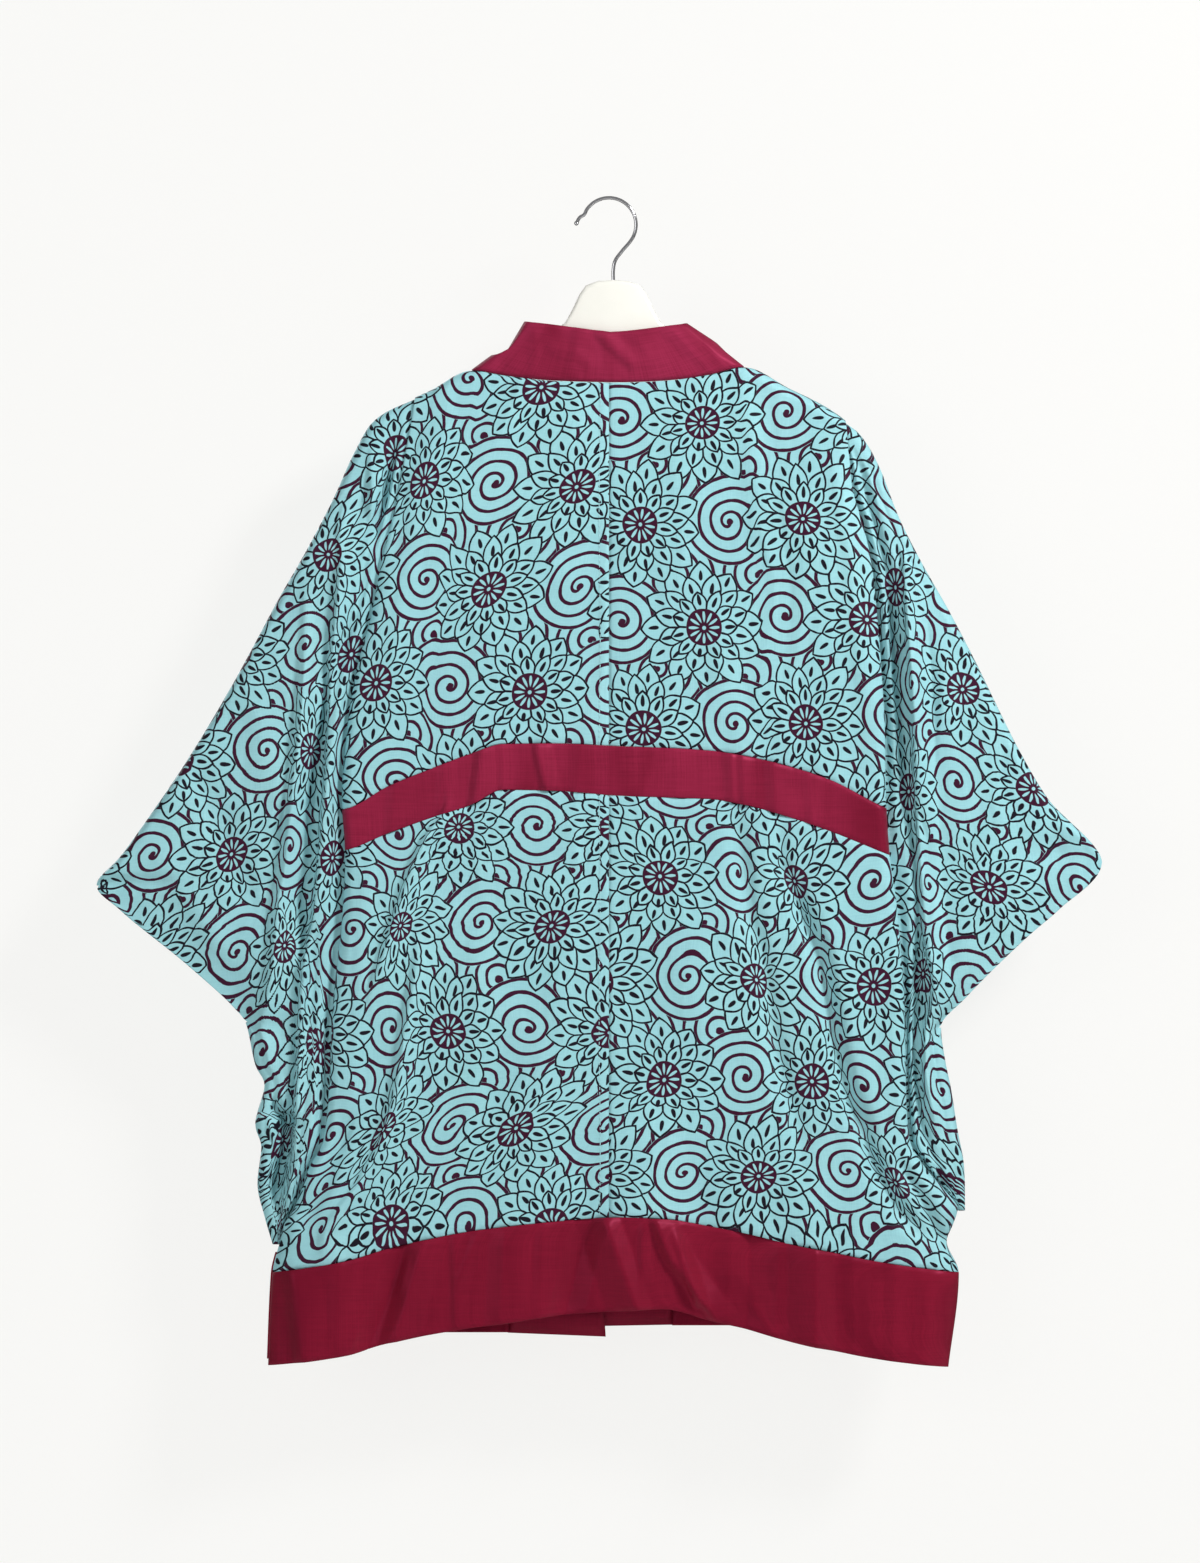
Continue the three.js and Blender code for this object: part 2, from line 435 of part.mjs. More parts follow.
function sleeveRows(table, between) {
  const columns = Object.keys(table[0]);
  const rows = table.map((row, i) => ({ ...row, i }));
  const tracks = Object.fromEntries(columns.map(name => [name, track(rows, 'i', name)]));
  const cuffStart = table.findIndex(row => row.cuff === 'start');
  const cuffEnd = table.findIndex(row => row.cuff === 'end');
  const list = [];
  for (let i = 0; i < table.length - 1; i += 1) {
    const far = Math.hypot(table[i + 1].x - table[i].x, table[i + 1].z - table[i].z) > between;
    list.push(i, ...(far ? [i + 0.5] : []));
  }
  list.push(table.length - 1);
  return list.map(i => {
    const row = Object.fromEntries(columns.map(name => [name, tracks[name](i)]));
    return { ...row, cuff: i > cuffStart && i < cuffEnd, tip: i === cuffStart || i === cuffEnd };
  });
}

function sleeveSection(row, name) {
  const way = name === 'left' ? -1 : 1;
  const innerZ = row.z - row.drop;
  const inner = Math.abs(side[name](innerZ)) - LAP;
  const length = Math.hypot(Math.abs(row.x) - inner, row.drop);
  const turn = row.cuff ? 0 : Math.min(row.tip ? 2 : FOLD_RADIUS, length * 0.5);
  const flat = length - turn;
  const near = edgeDepth(innerZ);
  const lap = Math.min(LAP + 2, flat * 0.5);
  const trough = Math.max(Math.min(row.trough, flat * 0.6), lap + 0.15 * flat);
  const soft = Math.max(Math.min(row.soft, flat * 0.8), trough + 0.1 * flat);
  const at = {
    armhole: 0, lap, ridge: mix(lap, trough, 0.5), trough, ridge2: (trough + soft) / 2, soft,
  };
  const outerDepth = row.cuff || row.tip ? CUFF_DEPTH : row.depth;
  const layer = (share, front) => {
    const far = share in at ? at[share] : mix(soft, flat, share);
    const rise = smooth(far, lap, Math.max(at.ridge, lap + 1));
    const plain = mix(mix(near, row.depth, rise), outerDepth, smooth(far, flat * 0.45, flat));
    const dip = TROUGH_DEPTH * Math.exp(-(((far - trough) / (trough * 0.35 + 1)) ** 2));
    const softDip = SOFT_DEPTH * Math.exp(-(((far - soft) / (trough * 0.45 + 1)) ** 2));
    const ridges = 3.5 * rise * (1 - smooth(far, soft, flat)) - dip - softDip;
    const depth = plain + (front ? 0.4 : 1) * row.folds * ridges;
    return { far, depth: far <= lap ? near : Math.max(depth, Math.min(near, outerDepth)) };
  };
  const point = ({ far, depth }, back) => {
    const t = far / length;
    return new THREE.Vector3(way * mix(inner, Math.abs(row.x), t), back * depth, mix(innerZ, row.z, t));
  };
  const backLayer = LAYER_SHARES.map(share => point(layer(share, false), -1));
  const frontLayer = FRONT_SHARES.map(share => point(layer(share, true), 1)).reverse();
  const fold = FOLD_ANGLES.map(angle => {
    const a = THREE.MathUtils.degToRad(angle);
    return point({ far: flat + turn * Math.sin(a), depth: outerDepth * Math.cos(a) }, -1);
  });
  return [...backLayer, ...fold, ...frontLayer];
}

const SLEEVES = { left: LEFT_SLEEVE, right: RIGHT_SLEEVE };
for (const name of ['left', 'right']) {
  const rows = sleeveRows(SLEEVES[name], 38);
  const grid = rows.map(row => sleeveSection(row, name));
  const first = LAYER_SHARES.length - 1;
  const last = first + FOLD_ANGLES.length;
  const start = rows.findIndex(row => row.tip);
  const end = rows.findLastIndex(row => row.tip);
  const open = (i, j) => i >= start && i < end && j >= first && j <= last;
  if (name === 'left') {
    add('sleeve_left', wall(grid, CLOTH, open), PRINT);
  } else {
    const turned = grid.map(row => [...row].reverse());
    const columns = grid[0].length - 2;
    add('sleeve_right', wall(turned, CLOTH, (i, j) => open(i, columns - j)), PRINT);
  }
}

// The facing of the left side slit hangs behind the edge of the back and shows just past it.
const FACING_PROUD = 2;
const facing = steps(-968, -1066, 5).map(z => [-FACING_PROUD, FACING_WIDTH].map(inside => {
  const depth = edgeDepth(z) + STEP_BACK - SEAM - CLOTH / 2 - 0.2;
  return new THREE.Vector3(side.left(z) + inside, -depth, z);
}));
add('slit_facing_left', wall(facing, CLOTH), BURGUNDY);

// The hanger's body, extruded from its outline with rounded edges.
function armTop(x) {
  return cross.neck(x) - ARM_CLEAR - ARM_TIP_DROP * smooth(Math.abs(x), 150, 178);
}
function armUnder(x) {
  const out = Math.abs(x);
  const width = mix(ARM_WIDTH, ARM_END_WIDTH, out / ARM_END.right);
  return armTop(Math.sign(x) * Math.max(out, ARM_JOIN)) - width + Math.max(ARM_JOIN - out, 0) * ARM_JOIN_SLOPE;
}
function hangerOutline() {
  const top = [];
  for (const point of [...HANGER_DOME].reverse()) top.push([HANGER_X - point.x, point.z]);
  for (const point of HANGER_DOME.slice(1)) top.push([HANGER_X + point.x, point.z]);
  const rightArm = [...ARM_ROOT, ...[150, 180, ARM_END.right].map(x => [x, armTop(x)])];
  const rootLeft = ARM_ROOT.map(([x, z]) => [-x, z]).reverse();
  const leftArm = [...[ARM_END.left, -180, -150].map(x => [x, armTop(x)]), ...rootLeft];
  const endRight = [ARM_END.right + 4, armTop(ARM_END.right) - ARM_END_WIDTH * 0.45];
  const endLeft = [ARM_END.left - 4, armTop(ARM_END.left) - ARM_END_WIDTH * 0.45];
  const underRight = [ARM_END.right - 4, 150, 100, 50].map(x => [x, armUnder(x)]);
  const underLeft = [-50, -100, -150, ARM_END.left + 4].map(x => [x, armUnder(x)]);
  return [...leftArm, ...top, ...rightArm, endRight, ...underRight, [HANGER_X, -155], ...underLeft, endLeft];
}
const outline = new THREE.Shape(hangerOutline().map(([x, z]) => new THREE.Vector2(x, z)));
const body = new THREE.ExtrudeGeometry(outline, {
  depth: 2 * (HANGER_HALF - HANGER_BEVEL), bevelEnabled: true, bevelThickness: HANGER_BEVEL,
  bevelSize: HANGER_BEVEL, bevelOffset: -HANGER_BEVEL, bevelSegments: 3, curveSegments: 4,
});
body.translate(0, 0, -(HANGER_HALF - HANGER_BEVEL));
body.rotateX(Math.PI / 2);
add('hanger_body', body, WHITE);

// The hook: a round bend with a curled end, an easy reverse curve and a short stem into the dome.
const hookCentre = new THREE.Vector3(0, 0, -(HOOK_RADIUS - WIRE));
const hookPoints = [[-30, -21.8], [-27, -16.6]].map(([x, z]) => new THREE.Vector3(x, 0, z));
for (const degrees of steps(158, -32, 10)) {
  const a = THREE.MathUtils.degToRad(degrees);
  hookPoints.push(new THREE.Vector3(Math.cos(a) * HOOK_RADIUS, 0, hookCentre.z + Math.sin(a) * HOOK_RADIUS));
}
for (const [x, z] of [[11, -48.6], [5.6, -56.5], [4, -64], [4, -74 + SEAM]]) {
  hookPoints.push(new THREE.Vector3(x, 0, z));
}
const wire = new THREE.Shape();
wire.absarc(0, 0, WIRE, 0, Math.PI * 2, false);
const hook = new THREE.ExtrudeGeometry(wire, {
  steps: 40, curveSegments: 4, extrudePath: new THREE.CatmullRomCurve3(hookPoints, false, 'centripetal'),
});
add('hanger_hook', hook, CHROME);

export default jacket;
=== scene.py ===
"""Kimono jacket on a moulded clothes hanger: its cloth, print, sewing, the hanger's finish and the studio.

The tables are in millimetres, as a tailor's are, and everything is turned to metres as a piece is made.
The back of the jacket faces -Y. The origin is the inside top of the hanger's hook.
"""

import math

import bmesh
import bpy
import numpy as np
from mathutils import Matrix, Vector


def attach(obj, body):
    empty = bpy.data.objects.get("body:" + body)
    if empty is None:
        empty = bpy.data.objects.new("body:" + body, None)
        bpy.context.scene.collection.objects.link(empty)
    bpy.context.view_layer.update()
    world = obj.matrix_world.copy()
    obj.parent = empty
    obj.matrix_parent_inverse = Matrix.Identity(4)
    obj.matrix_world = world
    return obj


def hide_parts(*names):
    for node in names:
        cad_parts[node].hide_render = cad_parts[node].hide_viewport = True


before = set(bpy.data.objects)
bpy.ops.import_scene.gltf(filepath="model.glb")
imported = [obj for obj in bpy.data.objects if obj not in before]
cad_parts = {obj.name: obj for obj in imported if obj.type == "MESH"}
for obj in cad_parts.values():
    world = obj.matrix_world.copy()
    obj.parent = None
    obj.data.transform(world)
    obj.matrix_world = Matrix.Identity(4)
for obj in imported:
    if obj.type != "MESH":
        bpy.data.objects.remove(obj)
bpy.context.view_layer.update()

MM = 0.001
CLOTH, BAND = 1.0, 1.4  # walls of the printed cloth and of the bands, mm
SEAM = 0.3
CLEAR = 0.2
LAP = 2
STEP_BACK = 1.7
HALF_DEPTH = 8.6
SHOULDER_ROLL, SHOULDER_EDGE = 10, 0.42
TURN_STARTS = (115, 127)
FOLD_RADIUS = 8
TROUGH_DEPTH, SOFT_DEPTH, CUFF_DEPTH = 9, 3, 5
FACING_WIDTH, FACING_PROUD, FACING_ENDS = 14, 2, (-968, -1066)
FRONT_HEM = 89
FRONT_END = {"left": -1043, "right": -1037}
WAY = {"left": -1, "right": 1}


def table(columns, rows):
    """A table with named columns, as one list for each column."""
    return {name: [row[i] for row in rows] for i, name in enumerate(columns.split())}


def fold_list(rows):
    """Folds, each with 0 for the lean and the hidden cloth where they are left out."""
    return [(*row, 0, 0)[:5] for row in rows]


# Where the body's sides roll over to the sleeves and, lower down, end at the side slits.
SIDES = table("z left right", [
    (-182, -178, 214), (-203, -181, 217), (-235, -187, 220), (-265, -192, 223), (-300, -200, 233),
    (-336, -209, 241), (-383, -218, 246), (-435, -232, 250), (-486, -240, 253), (-551, -245, 254),
    (-600, -242, 257), (-650, -244, 264), (-740, -253, 271), (-834, -258, 273), (-865, -262, 276),
    (-890, -275, 290), (-912, -283, 309), (-928, -289, 320), (-942, -298, 316), (-958, -302, 310),
    (-987, -309, 321), (-1076, -313, 311),
])
# Heights of the seams across the back.
CROSS = table("x neck waist_top waist_end hem_top hem", [
    (-320, -262, -572, -612, -988, -1073), (-240, -216, -560, -598, -975, -1062),
    (-203, -194, -540, -583, -964, -1051), (-164, -176, -524, -569, -955, -1043),
    (-127, -158, -510, -557, -948, -1037), (-97, -162.5, -501, -543, -944, -1033),
    (-50, -167.5, -500.5, -544, -939, -1026), (10, -169, -503, -548.5, -935, -1021),
    (50, -167.5, -504.5, -550, -936.5, -1019.5), (92, -162, -507, -551.5, -943.5, -1030),
    (125, -155, -512, -557, -950, -1038), (165, -174, -521.5, -568, -959.5, -1049),
    (203, -193.5, -534, -581, -967, -1057), (250, -232, -558, -600, -976.5, -1066),
    (325, -300, -590, -632, -987, -1075),
])
# How far the back and the fronts hang from the middle plane.
HANG = table("z back left right", [
    (-160, 11, 15, 11), (-260, 13, 17, 12), (-420, 17, 16.5, 13), (-600, 20, 15, 14),
    (-780, 22, 14, 16), (-940, 23, 13, 18), (-1080, 21, 12.5, 19),
])
EDGE_DEPTH = table("z depth roll", [
    (-160, HALF_DEPTH, 10), (-230, HALF_DEPTH, 9), (-330, HALF_DEPTH, 9), (-850, HALF_DEPTH, 10),
    (-900, 6, 14), (-945, 2.4, 22), (-1080, 3, 40),
])
# Folds: places down the line, half width, height outwards, lean and cloth hidden. A fold with a lean is
# crisp: its right side is wider by this share and its left side narrower.
BACK_FOLDS = fold_list([
    # the back's sides, below the waist
    ([(-148, -560), (-172, -594), (-186, -630), (-202, -680), (-219, -733)], 11, 9, 0.6, 20),
    ([(-176, -700), (-184, -745), (-190, -786), (-198, -831), (-211, -873), (-233, -909),
      (-262, -948)], 11, 9, 0.6, 20),
    ([(158, -610), (176, -652), (193, -692), (207, -770), (221, -825), (249, -895), (268, -931),
      (292, -956)], 8, -10, 0, 22),
    ([(116, -570), (124, -620), (128, -660), (140, -692), (150, -761), (162, -817),
      (176, -860)], 9, -6, 0, 14),
    ([(266, -886), (288, -923), (302, -951), (318, -972)], 6, -7, 0, 6),
    ([(-222, -620), (-238, -860)], 10, 3), ([(196, -640), (242, -850)], 13, 4),
    ([(-238, -846), (-262, -905), (-280, -940)], 7, -6, 0, 6), ([(232, -850), (284, -928)], 8, 3),
    # above the waist
    ([(208, -250), (222, -330), (236, -480)], 8, 3), ([(190, -210), (205, -480)], 24, 3),
    ([(-152, -196), (-170, -250), (-190, -330), (-206, -480)], 18, 3, 0, 4),
    ([(-176, -214), (-188, -262), (-196, -330)], 7, -2.5, 0, 4), ([(-40, -190), (-48, -360)], 18, 1.4),
    ([(66, -190), (70, -380)], 20, 1.5), ([(118, -180), (150, -300)], 12, 1.6),
    ([(-4, -300), (-2, -490)], 20, -1.2), ([(98, -370), (106, -490)], 13, 1.6),
    ([(-112, -370), (-122, -490)], 13, 1.6),
    # towards the hem
    ([(-62, -780), (-84, -1060)], 26, 4), ([(30, -840), (34, -1050)], 34, 6),
    ([(84, -910), (104, -1060)], 20, -4), ([(170, -880), (190, -1070)], 22, 4),
    ([(-252, -890), (-262, -1076)], 20, 4), ([(-120, -700), (-130, -900)], 16, 2),
    ([(70, -640), (84, -860)], 18, 2), ([(-40, -570), (-44, -760)], 16, 1.6),
])
BAND_FOLDS = fold_list([
    # the waist band's
    ([(-115, -496), (-124, -566)], 13, 5.5, 0.35, 4), ([(-99, -496), (-97, -550)], 7, 1.6, 0.3),
    ([(-68, -494), (-63, -520), (-56, -548)], 10, 4.2, 0.45, 3), ([(112, -502), (115, -560)], 8, 4, -0.2, 3),
    ([(121, -506), (124, -566)], 9, 3.6, 0.3, 2), ([(150, -512), (154, -572)], 14, 3.6, 0.3),
    ([(-150, -510), (-156, -560)], 9, 1.6, 0.3), ([(-26, -498), (-30, -552)], 12, 1.4, 0.3),
    ([(182, -524), (187, -580)], 10, 1.8, 0.3), ([(60, -500), (62, -556)], 16, 1.4, 0.3),
    ([(-196, -530), (-200, -590)], 14, 2, 0.4),
    # the hem band's
    ([(-12, -926), (-24, -960), (-42, -1030)], 17, -8.1, 0.01),
    ([(-8, -926), (10, -975), (28, -1026)], 20, 10.1, -0.3),
    ([(40, -932), (56, -972), (100, -1030)], 13, 8.1, 0.5),
    ([(60, -950), (72, -985), (84, -1022)], 8, 5.4, 0.3), ([(32, -940), (30, -1000)], 8, 2.7, 0.3),
    ([(130, -944), (126, -1044)], 22, -6.8, 0.2), ([(190, -955), (190, -1064)], 22, 8.1, -0.2),
    ([(-292, -980), (-278, -1076)], 19, 7.4, 0.4),
    ([(-188, -960), (-202, -1010), (-226, -1066)], 15, -7.4, 0.01),
    ([(-170, -958), (-198, -1056)], 18, 7.4, 0.2), ([(-142, -950), (-140, -1040)], 9, 2.7, 0.4),
    ([(-120, -950), (-138, -995)], 8, 2.7, 0.3), ([(-96, -942), (-100, -1036)], 20, 4.1, 0.3),
    ([(-60, -938), (-64, -1026)], 12, 2.7, 0.3), ([(292, -978), (289, -1072)], 11, 3.2),
    ([(262, -975), (260, -1066)], 14, 2.7, 0.3), ([(-184, -975), (-192, -1004)], 5, 2.7, 0.4),
    ([(222, -966), (226, -1058)], 14, 2.7, 0.3), ([(-246, -975), (-250, -1066)], 16, 3.2, 0.3),
])
COLLAR_FOLDS = fold_list([
    ([(-14, -119), (4, -138), (24, -156)], 9, 3.6, 0.5), ([(-62, -130), (-40, -147)], 8, 2.2, 0.4),
    ([(-34, -140), (-14, -157)], 8, 1.8, 0.4), ([(-29, -116), (-31, -140), (-37, -160)], 10, 1.8, 0.4),
    ([(-71, -114), (-68, -136), (-70, -162)], 7, 1.8, 0.2), ([(-98, -146), (-100, -162)], 5, -1.6),
    ([(54, -118), (70, -134), (88, -154)], 14, 2.2, 0.3),
    ([(20, -120), (34, -142), (44, -160)], 14, 1.6, 0.3), ([(88, -130), (104, -150)], 8, 1.6, 0.3),
])
SLEEVE_FOLDS = fold_list([
    # the left sleeve's
    ([(-198, -235), (-204, -265), (-211, -300), (-213, -336), (-226, -368)], 5, -6, 0, 6),
    ([(-219, -240), (-217, -300), (-231, -350), (-237, -398)], 10, 6, 0.5, 6),
    ([(-247, -345), (-250, -381), (-255, -431), (-257, -487), (-260, -542), (-266, -610), (-271, -660),
      (-280, -705), (-283, -750), (-285, -805), (-290, -887), (-297, -942)], 11, 13, 0.7, 10),
    ([(-279, -405), (-281, -460), (-287, -514), (-293, -570), (-297, -610), (-304, -650), (-309, -705),
      (-320, -758)], 13, 11, 0.6, 20),
    ([(-244, -300), (-262, -360), (-270, -430)], 12, 2.5), ([(-330, -430), (-300, -560)], 16, 2.5),
    ([(-380, -520), (-330, -650)], 13, -3, 0, 6), ([(-412, -600), (-350, -700)], 12, 2.5),
    ([(-318, -818), (-304, -838), (-288, -852)], 5, -11, 0, 4),
    ([(-294, -838), (-300, -880), (-309, -918)], 8, -15, 0, 8),
    ([(-320, -838), (-310, -858), (-304, -880)], 6, 4, 0.2), ([(-318, -770), (-306, -830)], 8, 3, 0.3),
    # the right sleeve's
    ([(271, -345), (275, -403), (278, -445), (280, -487), (282, -542), (285, -598), (288, -640), (290, -678),
      (298, -716), (298, -735), (290, -765), (291, -810)], 11, 13, 0.7, 14),
    ([(238, -235), (248, -290), (258, -340)], 8, 3, 0.3, 3),
    ([(262, -330), (266, -480), (270, -600)], 6, -3, 0, 4),
    ([(308, -430), (303, -500), (296, -580)], 14, 3, 0.3, 6), ([(352, -520), (310, -650)], 13, -3, 0, 6),
    ([(402, -570), (350, -660)], 12, 2.5),
    ([(268, -852), (288, -889), (305, -906), (324, -929)], 6, -9, 0, 6),
    ([(284, -775), (300, -850)], 8, 4, 0.3, 3), ([(296, -795), (318, -834)], 6, -4, 0, 3),
    ([(286, -868), (300, -890), (322, -908)], 7, 4, 0.2),
])
FRONT_FOLDS = fold_list([
    ([(-150, -230), (-170, -520)], 16, 3), ([(-190, -420), (-214, -820)], 16, -3, 0, 8),
    ([(-140, -560), (-150, -900)], 18, 3), ([(-236, -640), (-258, -930)], 12, 3),
    ([(150, -230), (176, -520)], 16, 3), ([(200, -420), (226, -820)], 16, -3, 0, 8),
    ([(120, -560), (136, -980)], 18, 3), ([(250, -640), (284, -940)], 12, 3),
    ([(-180, -900), (-190, -1040)], 14, 2), ([(190, -900), (214, -1030)], 14, 2),
])

SLEEVE = "x z drop depth trough soft folds"
SLEEVES = {
    "left": table(SLEEVE, [
        (-179, -184.5, 9, 7.2, 3, 6, 0), (-203, -195, 12, 10, 8, 14, 0), (-218, -206, 14, 11, 12, 22, 0.2),
        (-235, -235, 8, 12, 14, 28, 0.5), (-253, -275, 3, 13, 16, 34, 0.8), (-283, -332, 0, 14, 18, 44, 1),
        (-301, -363, 0, 14, 19, 54, 1), (-347, -448, 0, 14, 20, 46, 1), (-389, -518, 0, 14, 15, 38, 1),
        (-448, -603, 0, 13, 22, 56, 1), (-471, -631, 0, 12, 24, 58, 1), (-448, -655, 0, 12, 25, 60, 1),
        (-389, -703, 0, 12, 25, 58, 1), (-347, -741, 0, 12, 25, 56, 1), (-334, -757, 0, 12, 26, 54, 1),
        (-325, -796, 0, 13, 27, 50, 1.1), (-316.5, -815, 0, 13, 27, 44, 1.2),
        (-325, -850, 0, 14, 28, 46, 1.2), (-319.5, -872, 0, 13, 26, 42, 1.1),
        (-323, -905, 0, 12, 20, 34, 0.8), (-316, -937, 0, 8, 10, 15, 0.3), (-309, -961, 0, 2.4, 4, 6, 0),
    ]),
    "right": table(SLEEVE, [
        (217, -206, 9, 7.2, 3, 6, 0), (228, -214, 12, 8.6, 5, 9, 0), (238, -227, 12, 11, 8, 14, 0.2),
        (249, -248, 8, 12, 12, 21, 0.5), (266, -292, 3, 13, 14, 26, 0.8), (286, -332, 0, 14, 15, 32, 1),
        (312, -378, 0, 14, 16, 40, 1), (335, -422, 0, 14, 17, 44, 1), (377, -507, 0, 14, 18, 48, 1),
        (403, -551, 0, 13, 18, 50, 1), (453, -610, 0, 12, 18, 50, 1), (415, -652, 0, 12, 18, 48, 1),
        (385, -678, 0, 12, 18, 46, 1), (330, -732, 0, 12, 16, 36, 1), (305, -762, 0, 12, 12, 22, 1),
        (309, -793, 0, 13, 13, 24, 0.9), (314, -817, 0, 13, 15, 26, 1), (320, -855, 0, 14, 17, 30, 1),
        (326, -888, 0, 13, 14, 24, 0.7), (327, -910, 0, 8, 8, 12, 0.1), (327, -930, 0, 2.6, 3, 4.5, 0),
    ]),
}
CUFF_ROWS = (10, 14)  # the cuff's two tips
COLLAR = "seam_x seam_z edge_x edge_z depth dent"
COLLARS = {
    "left": table(COLLAR, [
        (0, -169, 1, -122.5, -11, 0), (-30, -168.6, -22, -119.5, -11, 0), (-62, -166.6, -44, -116.5, -11, 0),
        (-94, -163, -60, -114.5, -11, 0), (-117, -158.6, -71, -113.5, -10, 3),
        (-124, -157.4, -76, -112.8, -6, 8), (-127, -158, -77.5, -112.7, 0, 9), (-125, -161, -76, -115, 6, 7),
        (-121, -172, -72, -124, 12, 3), (-120, -200, -71, -160, 15.6, 0), (-118, -262, -66, -240, 17, 0),
        (-114, -400, -54, -390, 16.6, 0), (-108, -600, -36, -596, 15, 0), (-100, -830, -17, -830, 13.7, 0),
        (-92, -1043.5, -3, -1047, 12.6, 0),
    ]),
    "right": table(COLLAR, [
        (0, -169, 1, -122.5, -11, 0), (30, -168.6, 20, -121, -11, 0), (62, -166.2, 40, -118.5, -11, 0),
        (94, -161.8, 56, -116.5, -11, 0), (115, -157.2, 66, -115.3, -10, 0),
        (122, -155.2, 70.5, -114.6, -6, -1), (125, -155, 72, -114.8, 0, -2), (123, -158, 70.5, -117, 6, -1),
        (119, -170, 67, -126, 10, 0), (117, -200, 65, -160, 11.5, 0), (112, -262, 57, -240, 12, 0),
        (101, -400, 38, -390, 13, 0), (88, -600, 13, -596, 14, 0), (72, -830, -11, -830, 16.5, 0),
        (58, -1036.5, -31, -1038, 18.5, 0),
    ]),
}
TURN_ROW = 6  # the collar's row that lies on the turn at the neck
TURN_GAP = 1
FRONT_LAP = 1.8
FRONT_ROWS = (7.5, 9)  # over these rows the collar comes to lie over the fronts
BACK_ROWS = (3.2, 5)  # over these rows it leaves the back
COLLAR_LEAN = -0.1
LEDGE = ((0, 0.33, 0.50, 0.56, 1), (0, 0.25, 1, 0.98, 0))  # the dent's depth across the collar


# Curves and folds

CROWDING = 0.6  # 0 leaves rows evenly spaced
FOLD_BEND = 4  # half the length over which a fold's bends are rounded, mm
FOLD_FADE = 0.2  # share of its length over which a fold fades out


def track(rows, at, column):
    """A smooth curve without overshoot through two columns of a table."""
    order = np.argsort(rows[at])
    x = np.array(rows[at], float)[order]
    y = np.array(rows[column], float)[order]
    slope = np.diff(y) / np.diff(x)
    before, after = np.r_[slope[:1], slope], np.r_[slope, slope[-1:]]
    total = np.where(before + after == 0, 1, before + after)
    tangent = np.where(before * after > 0, 2 * before * after / total, 0)

    def value(place):
        place = np.clip(place, x[0], x[-1])
        i = np.clip(np.searchsorted(x, place) - 1, 0, len(x) - 2)
        span = x[i + 1] - x[i]
        rise = y[i + 1] - y[i]
        t = (place - x[i]) / span
        a, b = tangent[i] * span, tangent[i + 1] * span
        return y[i] + a * t + (3 * rise - 2 * a - b) * t**2 + (a + b - 2 * rise) * t**3

    return value


def row_tracks(rows):
    """A curve through each column of a table, by the number of the row."""
    numbered = {**rows, "row": range(len(rows["depth"]))}
    return {column: track(numbered, "row", column) for column in rows}


def ease(value, low, high):
    t = np.clip((value - low) / (high - low), 0, 1)
    return t * t * (3 - 2 * t)


def mix(a, b, share):
    return a + (b - a) * share


def crowded(share):
    """Shares from 0 to 1 that lie closer together at both ends."""
    return share - CROWDING * np.sin(2 * np.pi * share) / (2 * np.pi)


side = {name: track(SIDES, "z", name) for name in WAY}
cross = {name: track(CROSS, "x", name) for name in ("neck", "waist_top", "waist_end", "hem_top", "hem")}
hang = {name: track(HANG, "z", name) for name in ("back", "left", "right")}
edge_depth = track(EDGE_DEPTH, "z", "depth")
roll_width = track(EDGE_DEPTH, "z", "roll")


def across_fold(points, x, z):
    """How far each place lies to the right of a fold's line, the slope there and what is left of the fold."""
    line_x, line_z = np.array(points[::-1], float).T
    ahead, behind = np.interp(z + FOLD_BEND, line_z, line_x), np.interp(z - FOLD_BEND, line_z, line_x)
    slope = (ahead - behind) / (2 * FOLD_BEND)
    fade = (line_z[-1] - line_z[0]) * FOLD_FADE
    left = ease(z, line_z[0] - fade, line_z[0] + fade) * (1 - ease(z, line_z[-1] - fade, line_z[-1] + fade))
    return (x - (ahead + behind) / 2) / np.sqrt(1 + slope**2), slope, left


def relief(folds, x, z):
    """Height of these folds at each place."""
    total = np.zeros(np.broadcast(x, z).shape)
    for points, width, height, lean, _ in folds:
        across, _, left = across_fold(points, x, z)
        crisp = np.clip(1 - np.abs(across) / (width * (1 + lean * np.sign(across))), 0, 1)
        total += height * left * (crisp if lean else np.exp(-((across / width) ** 2)))
    return total


def hidden_cloth(folds, x, z):
    """How far the print is moved at each place by the cloth that the folds hide."""
    moved = np.zeros((*np.shape(x), 2))
    for points, width, _, _, hidden in folds:
        if hidden:
            across, slope, left = across_fold(points, x, z)
            pulled = hidden * left * np.tanh(across / width) / 2 / np.sqrt(1 + slope**2)
            moved += np.stack([pulled, pulled * slope], axis=2)
    return moved


def body_point(x, z, way, depth_at, folds):
    """A place on the body. way is -1 on the back and 1 on the fronts."""
    edge = np.where(x < 0, side["left"](z), side["right"](z))
    inside = np.clip(np.abs(edge - x) / roll_width(z), 0, 1)
    rim = edge_depth(z) + STEP_BACK
    full = rim + (depth_at(z) + relief(folds, x, z) - rim) * np.sqrt(1 - (1 - inside) ** 2)
    below = np.clip((cross["neck"](x) - z) / SHOULDER_ROLL, 0, 1)
    turned = mix(1, np.sqrt(1 - (1 - below) ** 2), ease(np.abs(x), *TURN_STARTS))
    return x, way * mix(SHOULDER_EDGE, full, turned), z


# Cloth


def strip_lengths(points, axis):
    """Lengths along a grid of points, from its start, measured in the cloth."""
    step = np.linalg.norm(np.diff(points, axis=axis), axis=2)
    pad = [(0, 0), (0, 0)]
    pad[axis] = (1, 0)
    return np.pad(np.cumsum(step, axis=axis), pad)


